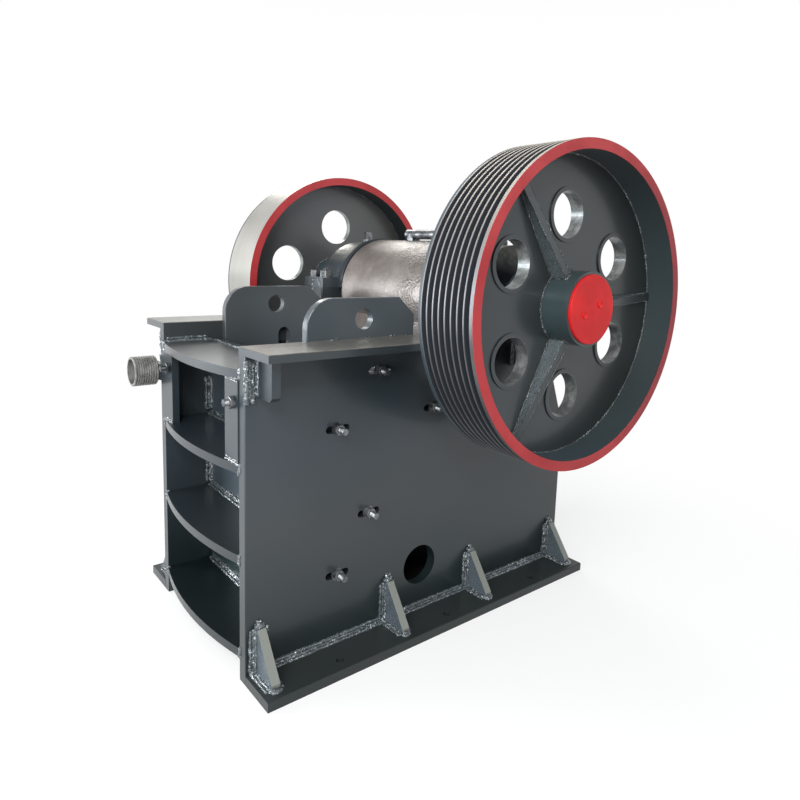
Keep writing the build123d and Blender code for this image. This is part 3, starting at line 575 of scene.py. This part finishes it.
def addBead(mesh, start, end, radius):
    start, end = Vector(start), Vector(end)
    length = (end - start).length
    turn = (end - start).to_track_quat("Z", "Y").to_matrix().to_4x4()
    place = Matrix.Translation((start + end) / 2) @ turn
    pitch, depth = weld["ripple"]
    bead = bmesh.new()
    bmesh.ops.create_cone(bead, cap_ends=True, segments=weld["sides"], radius1=radius, radius2=radius,
                          depth=length)
    along = [edge for edge in bead.edges if abs(edge.verts[0].co.z - edge.verts[1].co.z) > length / 2]
    cuts = max(weld["fewestCuts"], round(length / weld["step"]))
    bmesh.ops.subdivide_edges(bead, edges=along, cuts=cuts)
    for vert in bead.verts:
        swell = roughen(place @ vert.co) + depth * math.sin(2 * math.pi * vert.co.z / pitch)
        if abs(abs(vert.co.z) - length / 2) < weld["near"]:
            swell -= weld["endTaper"]
        vert.co.x *= 1 + swell
        vert.co.y *= 1 + swell
    bmesh.ops.transform(bead, matrix=place, verts=bead.verts[:])
    mergeInto(mesh, bead)


# sides gives the two faces that meet: a bead in the corner and, for a wide weld, one out on each face
def addWeld(mesh, start, end, radius, sides=()):
    start, end = Vector(start), Vector(end)
    addBead(mesh, start, end, radius)
    for side in sides:
        shift = Vector(side) * weld["spread"] * radius
        along = (end - start).normalized() * random.uniform(0, weld["slip"])
        addBead(mesh, start + shift + along, end + shift - along, radius * weld["outer"])


# a rough blob of weld metal
lump = {"fineness": 3, "scale": 90, "size": 0.004}


def addLump(mesh, place, size):
    part = bmesh.new()
    bmesh.ops.create_icosphere(part, subdivisions=lump["fineness"], radius=1.0)
    placed = Matrix.Translation(place) @ Matrix.Diagonal((*size, 1))
    bmesh.ops.transform(part, matrix=placed, verts=part.verts[:])
    for vert in part.verts:
        vert.co += vert.normal * noise.noise(vert.co * lump["scale"]) * lump["size"]
    mergeInto(mesh, part)


# a bead laid round the shaft axis
def addRing(mesh, x, radius, thick):
    ring = bmesh.new()
    centre = Vector((x, shaftY, shaftZ))
    first = bmesh.ops.create_circle(ring, segments=weld["sides"], radius=thick)
    place = Matrix.Translation(centre) @ Matrix.Translation((0, radius, 0))
    bmesh.ops.transform(ring, matrix=place, verts=first["verts"])
    turn = 2 * math.pi
    bmesh.ops.spin(ring, geom=ring.verts[:] + ring.edges[:], cent=centre, axis=(1, 0, 0), angle=turn,
                   steps=round(turn * radius / weld["ringStep"]), use_merge=True)
    for vert in ring.verts:
        out = vert.co - centre
        out.x = 0
        core = centre + out.normalized() * radius
        vert.co = core + (vert.co - core) * (1 + roughen(vert.co))
    bmesh.ops.recalc_face_normals(ring, faces=ring.faces[:])
    mergeInto(mesh, ring)


gusset = {"rows": (-0.94, -0.272, 0.278, 0.93), "thick": 0.030, "reach": 0.118, "height": 0.155}
# radii of the beads, gaps at their ends, and the lumps' places and sizes
footWeld = {"seam": 0.0105, "toe": 0.0095, "tip": 0.0125, "crown": 0.012, "endGap": 0.012,
            "crownGap": 0.004, "crownRise": 0.002, "tipLump": ((0.004, 0.002), (0.013, 0.021, 0.009)),
            "crownLump": ((0.006, 0.004), (0.012, 0.019, 0.010))}
random.seed(7)


def footWelds():
    mesh = bmesh.new()
    halfLength = (rearY - frontY) / 2
    rows = [part * halfLength for part in gusset["rows"]]
    half = gusset["thick"] / 2
    top = footTop + gusset["height"]
    crest = top + footWeld["crownRise"]
    for side in (1, -1):
        x = side * plateOuter
        tip = x + side * gusset["reach"]
        starts = [frontY + footWeld["endGap"]] + [row + half for row in rows]
        ends = [row - half for row in rows] + [rearY - footWeld["endGap"]]
        for low, high in zip(starts, ends):
            addWeld(mesh, (x, low, footTop), (x, high, footTop), footWeld["seam"],
                    ((side, 0, 0), (0, 0, 1)))
        for row in rows:
            for face in (-1, 1):
                y = row + face * half
                addWeld(mesh, (x, y, footTop), (x, y, top - footWeld["crownGap"]), footWeld["seam"],
                        ((side, 0, 0), (0, face, 0)))
                addWeld(mesh, (x, y, footTop), (tip, y, footTop), footWeld["toe"], ((0, face, 0),))
            addWeld(mesh, (tip, row - half, footTop), (tip, row + half, footTop), footWeld["tip"])
            (out, up), size = footWeld["tipLump"]
            addLump(mesh, (tip + side * out, row, footTop + up), size)
            addWeld(mesh, (x, row - half, crest), (x, row + half, crest), footWeld["crown"],
                    ((0, 0, 1),))
            (out, up), size = footWeld["crownLump"]
            addLump(mesh, (x + side * out, row, top + up), size)
    return addObject("footWelds", mesh, weldPaint)


stiffener = {"front": -0.7075, "thick": 0.029, "reach": 0.098, "drop": 0.126, "offset": 0.180}
# runs are beads down the front edge, and tacks are short ones where the ears meet the flanges
topWeld = {"seam": 0.006, "upright": 0.008, "frontGap": 0.02, "rearGap": 0.17,
           "runs": (0.007, 0.0165, 0.025), "run": 0.0092, "runDrop": 0.150, "runVary": 0.02,
           "runGap": 0.012, "tack": 0.0048, "tackOut": 0.003,
           "tacks": ((-0.440, 0.028), (-0.300, 0.020), (-0.200, 0.030), (-0.130, 0.016))}


def topWelds():
    mesh = bmesh.new()
    under = flangeLow.z
    for side in (1, -1):
        x = side * plateOuter
        rows = [shaftY - stiffener["offset"], shaftY + stiffener["offset"]]
        if side > 0:
            rows.insert(0, stiffener["front"])
        addWeld(mesh, (x, frontY + topWeld["frontGap"], under), (x, rearY - topWeld["rearGap"], under),
                topWeld["seam"])
        for row in rows:
            for face in (-1, 1):
                y = row + face * stiffener["thick"] / 2
                addWeld(mesh, (x, y, under - stiffener["drop"]), (x, y, under), topWeld["upright"],
                        ((side, 0, 0),))
                addWeld(mesh, (x, y, under), (x + side * stiffener["reach"], y, under), topWeld["seam"])
        for across in topWeld["runs"]:
            y = frontY + across
            low = under - topWeld["runDrop"] + random.uniform(0, topWeld["runVary"])
            addBead(mesh, (x, y, low), (x, y, under - topWeld["runGap"]), topWeld["run"])
        for y, length in topWeld["tacks"]:
            spot = Vector((side * (plateInner + topWeld["tackOut"]), y, flangeHigh.z))
            addBead(mesh, spot, spot + Vector((0, length, 0)), topWeld["tack"])
    return addObject("topWelds", mesh, weldPaint)


# ends: beads on the ribs' front ends; plate: along the side plates over the top rib;
# bays: up the wall's corners; pads: round the stud pads; wall: along the wall over the ribs
ribWeld = {"end": 0.0085, "endIn": 0.004, "endUp": 0.020, "plate": 0.009, "plateIn": 0.006,
           "bay": 0.0125, "bays": ((0.725, 0.865), (0.425, 0.52), (0.165, 0.23)), "pad": 0.0065,
           "padWide": 0.095, "padOut": 0.002, "wall": 0.0105, "topWall": 0.0055, "under": 0.0075,
           "wallGap": 0.01}


def ribWelds():
    mesh = bmesh.new()
    half = ribs["thick"] / 2
    top = ribHeights[-1]
    for side in (1, -1):
        inner = side * plateInner
        y = frontY + ribWeld["endIn"]
        for height in ribHeights:
            addBead(mesh, (inner, y, height - ribWeld["endUp"]), (inner, y, height + ribWeld["endUp"]),
                    ribWeld["end"])
        addWeld(mesh, (inner, frontY + ribWeld["plateIn"], top + half), (inner, wallFront, top + half),
                ribWeld["plate"], ((-side, 0, 0), (0, 0, 1)))
        for low, high in ribWeld["bays"]:
            addWeld(mesh, (inner, wallFront, low), (inner, wallFront, high), ribWeld["bay"],
                    ((-side, 0, 0), (0, -1, 0)))
        pad = side * (plateInner - ribWeld["padWide"])
        y = frontY - ribWeld["padOut"]
        for height, up in ((top - half, -1), (ribHeights[-2] + half, 1)):
            addWeld(mesh, (pad, y, height), (inner, y, height), ribWeld["pad"], ((0, 0, up),))
    for height in ribHeights:
        low = Vector((-plateInner + ribWeld["wallGap"], wallFront, height))
        high = Vector((plateInner - ribWeld["wallGap"], wallFront, height))
        above, below = Vector((0, 0, half)), Vector((0, 0, -half))
        if height == top:
            addBead(mesh, low + above, high + above, ribWeld["topWall"])
        else:
            addWeld(mesh, low + above, high + above, ribWeld["wall"], ((0, 0, 1), (0, -1, 0)))
        addBead(mesh, low + below, high + below, ribWeld["under"])
    return addObject("ribWelds", mesh, weldPaint)


rearWeld = {"corner": 0.007, "cornerGap": 0.01, "plate": 0.006, "plateGap": 0.006, "wall": 0.007}


def rearWelds():
    mesh = bmesh.new()
    low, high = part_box("rear_wall")
    ribLow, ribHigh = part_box("rear_ribs")
    tops = [height + ribs["thick"] / 2 for height in ribMiddles(ribLow, ribHigh, ribs["rear"])]
    for side in (1, -1):
        inner = side * plateInner
        addWeld(mesh, (inner, high.y, low.z + rearWeld["cornerGap"]),
                (inner, high.y, high.z - rearWeld["cornerGap"]), rearWeld["corner"])
        for top in tops:
            addWeld(mesh, (inner, high.y, top), (inner, ribHigh.y - rearWeld["plateGap"], top),
                    rearWeld["plate"], ((0, 0, 1),))
    for top in tops:
        addWeld(mesh, (-plateInner, high.y, top), (plateInner, high.y, top), rearWeld["wall"],
                ((0, 0, 1),))
    return addObject("rearWelds", mesh, weldPaint)


# sizes of the hub, the bosses and the gussets that the seams follow, then the beads' radii:
# foot, edge and end run along a gusset's foot, its sloping edge and up the hub, crest across its top
wheelWeld = {"hubRadius": 0.125, "boss": 0.005, "half": 0.014, "toe": 0.008, "rimGap": 0.004,
             "sink": 0.001, "hub": 0.0046, "rim": 0.0038, "foot": 0.0034, "edge": 0.0017,
             "end": 0.0036, "crest": 0.0046}


# hub and rim seams on both faces of each web, and the gussets' seams
def wheelWelds():
    mesh = bmesh.new()
    half = wheelWeld["half"]
    for name, size in wheels.items():
        side = size["side"]
        count, first, rise = size["gussets"]
        low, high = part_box(name + "_gussets")
        outer = low.x if side > 0 else high.x
        low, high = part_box(name + "_web")
        inner = (low.x + wheelWeld["boss"]) if side > 0 else high.x
        for x in (outer, inner):
            addRing(mesh, x, wheelWeld["hubRadius"] + wheelWeld["sink"], wheelWeld["hub"])
            addRing(mesh, x, size["rim"] - wheelWeld["sink"], wheelWeld["rim"])
        for step in range(count):
            turn = math.radians(first + 360 / count * step)
            along = Vector((0, math.cos(turn), math.sin(turn)))
            across = Vector((0, -math.sin(turn), math.cos(turn)))
            origin = Vector((outer, shaftY, shaftZ))
            crest = Vector((side * rise, 0, 0))
            toe = Vector((side * wheelWeld["toe"], 0, 0))
            for face in (-half, half):
                low = origin + along * wheelWeld["hubRadius"] + across * face
                high = origin + along * (size["rim"] - wheelWeld["rimGap"]) + across * face
                addBead(mesh, low, high, wheelWeld["foot"])
                addBead(mesh, low + crest, high + toe, wheelWeld["edge"])
                addBead(mesh, low, low + crest, wheelWeld["end"])
            top = origin + along * wheelWeld["hubRadius"] + crest
            addBead(mesh, top - across * half, top + across * half, wheelWeld["crest"])
    return addObject("wheelWelds", mesh, wheelWeldPaint, "rotor")


housingWeld = {"inner": 0.350, "seam": 0.006, "upright": 0.0042, "uprightX": 0.428, "aboveShaft": 0.03}


def housingWelds():
    mesh = bmesh.new()
    for side in (1, -1):
        low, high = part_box("housing_bases")
        foot = flangeHigh.z
        inner, outer, middle = housingWeld["inner"] * side, high.x * side, housingWeld["uprightX"] * side
        for y, out in ((low.y, -1), (high.y, 1)):
            addWeld(mesh, (inner, y, foot), (outer, y, foot), housingWeld["seam"], ((0, out, 0),))
            addBead(mesh, (middle, y, foot), (middle, y, shaftZ + housingWeld["aboveShaft"]),
                    housingWeld["upright"])
        for x in (outer, inner):
            addWeld(mesh, (x, low.y, foot), (x, high.y, foot), housingWeld["seam"])
    return addObject("housingWelds", mesh, weldPaint)


footWelds()
topWelds()
ribWelds()
wheelWelds()
housingWelds()
rearWelds()
print("weld beads laid")


# a bar along Z with so many sides, as wide at both ends unless the top has a radius of its own
def addBar(part, sides, low, high, radius, topRadius=None):
    bar = bmesh.ops.create_cone(part, cap_ends=True, segments=sides, radius1=radius,
                                radius2=topRadius or radius, depth=high - low,
                                matrix=Matrix.Translation((0, 0, (low + high) / 2)))
    return bar["verts"]


def bevelEdges(part, edges, offset, segments):
    bmesh.ops.bevel(part, geom=edges, offset=offset, segments=segments, affect="EDGES", profile=0.5,
                    material=-1)


# what all bolts share; thick is the washer's, pitch the thread's, sunk where in the nut's height the
# stud starts, taper and root the shares of its radius that are left at its tip and in the thread
bolt = {"thick": 0.004, "pitch": 0.0034, "bevel": 0.0018, "sunk": 0.9, "taper": 0.97, "root": 0.88,
        "washerSides": 28, "studSides": 20}


# a hexagon nut on a washer with a threaded stud end, made along Z and then turned onto its seat
def addBolt(mesh, place, **changes):
    size = {**bolt, **changes}
    part = bmesh.new()
    seat = size["thick"]
    if seat:
        addBar(part, size["washerSides"], 0, seat, size["washer"])
    nut = addBar(part, 6, seat, seat + size["height"], size["across"] / math.sqrt(3))
    bevelEdges(part, list({edge for vert in nut for edge in vert.link_edges}), size["bevel"], 2)
    low, high = seat + size["height"] * size["sunk"], size["reach"]
    stud = addBar(part, size["studSides"], low, high, size["stud"], size["stud"] * size["taper"])
    sides = {edge for vert in stud for edge in vert.link_edges
             if abs(edge.verts[0].co.z - edge.verts[1].co.z) > (high - low) / 2}
    cuts = 2 * round((high - low) / size["pitch"]) - 1
    rings = bmesh.ops.subdivide_edges(part, edges=list(sides), cuts=cuts)
    gap = (high - low) / (cuts + 1)
    for item in rings["geom_inner"]:
        if isinstance(item, bmesh.types.BMVert) and round((item.co.z - low) / gap) % 2:
            item.co.x *= size["root"]
            item.co.y *= size["root"]
    bmesh.ops.transform(part, matrix=place, verts=part.verts[:])
    mergeInto(mesh, part)


plateBolts = {"spots": ((-0.432, 0.788), (-0.266, 0.971), (-0.298, 0.468), (-0.424, 0.275),
                        (-0.013, 0.810)), "sunk": 0.003,
              "size": {"across": 0.034, "height": 0.020, "washer": 0.022, "stud": 0.011, "reach": 0.052}}
clampStuds = {"spots": ((-0.262, 0.920), (0.303, 0.906)),
              "size": {"across": 0.036, "height": 0.016, "thick": 0, "stud": 0.0118,
                       "reach": 0.0335, "pitch": 0.0042}}
housingBolts = {"x": (0.3855, 0.4695), "offset": 0.258,
                "size": {"across": 0.046, "height": 0.026, "washer": 0.029, "stud": 0.0145,
                         "reach": 0.042}}


def addBolts(name, places, size):
    mesh = bmesh.new()
    for spot, turn in places:
        addBolt(mesh, Matrix.Translation(spot) @ turn, **size)
    return addObject(name, mesh, fastenerSteel, smooth=False)


def addPlateBolts():
    x = plateOuter - plateBolts["sunk"]
    places = [((side * x, y, z), Matrix.Rotation(side * math.pi / 2, 4, "Y"))
              for side in (1, -1) for y, z in plateBolts["spots"]]
    return addBolts("plateBolts", places, plateBolts["size"])


def addClampStuds():
    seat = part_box("clamp_studs")[1].y
    turn = Matrix.Rotation(math.pi / 2, 4, "X")
    places = [((x, seat, z), turn) for x, z in clampStuds["spots"]]
    thing = addBolts("clampStuds", places, clampStuds["size"])
    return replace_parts(thing, "clamp_studs")


def addHousingBolts():
    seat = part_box("housing_bolts")[0].z
    places = [((side * x, shaftY + row * housingBolts["offset"], seat), Matrix.Identity(4))
              for side in (1, -1) for x in housingBolts["x"] for row in (-1, 1)]
    thing = addBolts("housingBolts", places, housingBolts["size"])
    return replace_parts(thing, "housing_bolts")


# end caps, each with two socket-head screws painted over
hubCap = {"radius": 0.116, "back": 0.850, "face": 0.8595, "bevel": 0.003, "segments": 96}
capScrew = {"circle": 0.0435, "turn": 22.0, "radius": 0.0125, "height": 0.0035, "socket": 0.0060,
            "deep": 0.0028, "bevel": 0.001, "segments": 28}


def makeDisc(radius, depth, segments, bevel):
    part = bmesh.new()
    addBar(part, segments, 0, depth, radius)
    rim = [edge for edge in part.edges if all(vert.co.z > depth / 2 for vert in edge.verts)]
    bevelEdges(part, rim, bevel, 3)
    return part


def addHubCaps():
    mesh = bmesh.new()
    depth = hubCap["face"] - hubCap["back"]
    for side in (1, -1):
        face = Matrix.Rotation(side * math.pi / 2, 4, "Y")
        disc = makeDisc(hubCap["radius"], depth, hubCap["segments"], hubCap["bevel"])
        place = Matrix.Translation((side * hubCap["back"], shaftY, shaftZ)) @ face
        bmesh.ops.transform(disc, matrix=place, verts=disc.verts[:])
        mergeInto(mesh, disc)
        for half in (0, 180):
            turn = math.radians(capScrew["turn"] + half)
            spot = Vector((side * hubCap["face"], shaftY + capScrew["circle"] * math.cos(turn),
                           shaftZ + capScrew["circle"] * math.sin(turn)))
            head = makeDisc(capScrew["radius"], capScrew["height"], capScrew["segments"],
                            capScrew["bevel"])
            top = max(head.faces, key=lambda one: one.calc_center_median().z)
            lip = capScrew["radius"] - capScrew["socket"] - capScrew["bevel"]
            bmesh.ops.inset_region(head, faces=[top], thickness=lip)
            bmesh.ops.translate(head, vec=(0, 0, -capScrew["deep"]), verts=top.verts[:])
            bmesh.ops.transform(head, matrix=Matrix.Translation(spot) @ face, verts=head.verts[:])
            mergeInto(mesh, head)
    thing = addObject("hubCaps", mesh, redPaint, "rotor", smooth=False)
    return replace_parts(thing, "hub_caps")


addPlateBolts()
addClampStuds()
addHousingBolts()
addHubCaps()
print("bolts set")

spring = {"turns": 6, "wire": 0.009, "sides": 10, "steps": 26}


# the tension rod's spring as a round wire wound along Y
def addSpring():
    low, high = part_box("tension_spring")
    centre = Vector((0, low.y, (low.z + high.z) / 2))
    coilRadius = (high.z - low.z) / 2 - spring["wire"]
    length = high.y - low.y - 2 * spring["wire"]
    mesh = bmesh.new()
    place = (Matrix.Translation(centre + Vector((0, spring["wire"], coilRadius)))
             @ Matrix.Rotation(math.pi / 2, 4, "Y"))
    first = bmesh.ops.create_circle(mesh, cap_ends=True, segments=spring["sides"], radius=spring["wire"])
    bmesh.ops.transform(mesh, matrix=place, verts=first["verts"])
    steps = spring["turns"] * spring["steps"]
    bmesh.ops.spin(mesh, geom=mesh.faces[:], cent=centre, axis=(0, 1, 0),
                   angle=2 * math.pi * spring["turns"], dvec=(0, length / steps, 0), steps=steps)
    bmesh.ops.recalc_face_normals(mesh, faces=mesh.faces[:])
    thing = addObject("springCoil", mesh, fastenerSteel, "frame")
    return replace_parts(thing, "tension_spring")


addSpring()
print("spring wound")


# the floor: greys to the eye near the machine and inside the frame, how far out white takes over,
# the grey that bounced light sees, and the half sizes of the dark patch inside the frame, a painted
# shadow
stage = {"half": 30, "nearGrey": 0.88, "nearWhite": 0.62, "farFrom": 1.1, "farTo": 2.6, "bounce": 0.22,
         "under": (0.33, 0.66), "edge": 0.02, "paintedShadowGrey": 0.02}


# pale floor to the eye and to gloss, darker to bounced light, plain white far from the machine,
# and dark inside the frame as a painted shadow under the machine
def makeStage():
    mesh = bmesh.new()
    bmesh.ops.create_grid(mesh, x_segments=1, y_segments=1, size=stage["half"])
    data = bpy.data.meshes.new("floor")
    mesh.to_mesh(data)
    mesh.free()
    floor = bpy.data.objects.new("floor", data)
    bpy.context.scene.collection.objects.link(floor)
    finish = bpy.data.materials.new("floorPale")
    finish.use_nodes = True
    tree = finish.node_tree
    tree.nodes.clear()
    new, link = tree.nodes.new, tree.links.new
    out = new("ShaderNodeOutputMaterial")
    near, dim = new("ShaderNodeBsdfDiffuse"), new("ShaderNodeBsdfDiffuse")
    white = new("ShaderNodeEmission")
    dim.inputs["Color"].default_value = (stage["bounce"], stage["bounce"], stage["bounce"], 1)
    coords = new("ShaderNodeTexCoord")
    reach = new("ShaderNodeVectorMath")
    reach.operation = "LENGTH"
    link(coords.outputs["Object"], reach.inputs[0])
    fade = addRamp(tree, reach.outputs["Value"], stage["nearWhite"], 1, stage["farFrom"], stage["farTo"])
    split = new("ShaderNodeSeparateXYZ")
    link(coords.outputs["Object"], split.inputs[0])
    outside = None
    for axis, limit in zip("XY", stage["under"]):
        size, either = new("ShaderNodeMath"), new("ShaderNodeMath")
        beyond = new("ShaderNodeMapRange")
        size.operation = "ABSOLUTE"
        either.operation = "MAXIMUM"
        either.inputs[1].default_value = 0
        link(split.outputs[axis], size.inputs[0])
        link(size.outputs[0], beyond.inputs["Value"])
        beyond.inputs["From Min"].default_value = limit
        beyond.inputs["From Max"].default_value = limit + stage["edge"]
        link(beyond.outputs["Result"], either.inputs[0])
        if outside:
            link(outside, either.inputs[1])
        outside = either.outputs[0]
    # painted shadow: the floor's colour drops to a dark grey inside the frame
    grey = new("ShaderNodeMapRange")
    grey.inputs["To Min"].default_value = stage["paintedShadowGrey"]
    grey.inputs["To Max"].default_value = stage["nearGrey"]
    link(outside, grey.inputs["Value"])
    link(grey.outputs["Result"], near.inputs["Color"])
    lit = new("ShaderNodeMath")
    lit.operation = "MULTIPLY"
    link(fade, lit.inputs[0])
    link(outside, lit.inputs[1])
    seen, every = new("ShaderNodeMixShader"), new("ShaderNodeMixShader")
    link(lit.outputs[0], seen.inputs[0])
    link(near.outputs[0], seen.inputs[1])
    link(white.outputs[0], seen.inputs[2])
    link(eyeOrGloss(tree), every.inputs[0])
    link(dim.outputs[0], every.inputs[1])
    link(seen.outputs[0], every.inputs[2])
    link(every.outputs[0], out.inputs["Surface"])
    data.materials.append(finish)


# 1 for rays from the camera, and for reflected and refracted ones
def eyeOrGloss(tree):
    new, link = tree.nodes.new, tree.links.new
    path = new("ShaderNodeLightPath")
    total = path.outputs["Is Camera Ray"]
    for name in ("Is Glossy Ray", "Is Transmission Ray"):
        either = new("ShaderNodeMath")
        either.operation = "MAXIMUM"
        link(total, either.inputs[0])
        link(path.outputs[name], either.inputs[1])
        total = either.outputs[0]
    return total


world = {"fill": 0.66, "fillColour": (0.93, 0.97, 1.0), "whiteTo": 0.30, "darkFrom": 0.75,
         "overhead": 0.22}


# white all round to the eye and to gloss, darker overhead, and a soft fill for everything else
def makeWorld():
    studio = bpy.data.worlds.new("studio")
    bpy.context.scene.world = studio
    studio.use_nodes = True
    tree = studio.node_tree
    tree.nodes.clear()
    new, link = tree.nodes.new, tree.links.new
    out = new("ShaderNodeOutputWorld")
    light, seen = new("ShaderNodeBackground"), new("ShaderNodeBackground")
    mix = new("ShaderNodeMixShader")
    light.inputs["Color"].default_value = (*world["fillColour"], 1)
    light.inputs["Strength"].default_value = world["fill"]
    seen.inputs["Color"].default_value = (1, 1, 1, 1)
    coords, split = new("ShaderNodeTexCoord"), new("ShaderNodeSeparateXYZ")
    link(coords.outputs["Generated"], split.inputs[0])
    fade = addRamp(tree, split.outputs["Z"], 1, world["overhead"], world["whiteTo"], world["darkFrom"])
    link(fade, seen.inputs["Strength"])
    link(eyeOrGloss(tree), mix.inputs[0])
    link(light.outputs[0], mix.inputs[1])
    link(seen.outputs[0], mix.inputs[2])
    link(mix.outputs[0], out.inputs["Surface"])


# place, aim, size in metres, watts and colour
lamps = {
    "key": ((2.6, -3.4, 3.7), (0, 0, 0.8), 2.4, 150, (1.0, 0.99, 0.97)),
    "front": ((-3.0, -3.8, 1.5), (0, -0.5, 0.7), 1.8, 190, (0.93, 0.97, 1.0)),
    "low": ((2.3, -4.0, 0.8), (0.1, -0.5, 0.45), 1.5, 72, (0.96, 0.98, 1.0)),
    "side": ((4.6, 1.6, 3.0), (0.3, 0.1, 0.9), 2.2, 32, (1.0, 1.0, 1.0)),
    "back": ((-3.6, 1.4, 3.7), (0, 0, 1.0), 1.8, 70, (1.0, 0.97, 0.92)),
    "spark": ((3.4, -2.6, 3.2), (0.4, -0.2, 0.4), 0.35, 30, (1.0, 1.0, 1.0)),
}


def makeLamps():
    for name, (place, aim, size, power, colour) in lamps.items():
        data = bpy.data.lights.new(name, "AREA")
        data.size = size
        data.energy = power
        data.color = colour
        thing = bpy.data.objects.new(name, data)
        turn = (Vector(aim) - Vector(place)).to_track_quat("-Z", "Y").to_matrix().to_4x4()
        thing.matrix_world = Matrix.Translation(place) @ turn
        bpy.context.scene.collection.objects.link(thing)


makeStage()
makeWorld()
makeLamps()
bpy.context.scene.view_settings.view_transform = "Standard"
print("stage, world and lamps set")
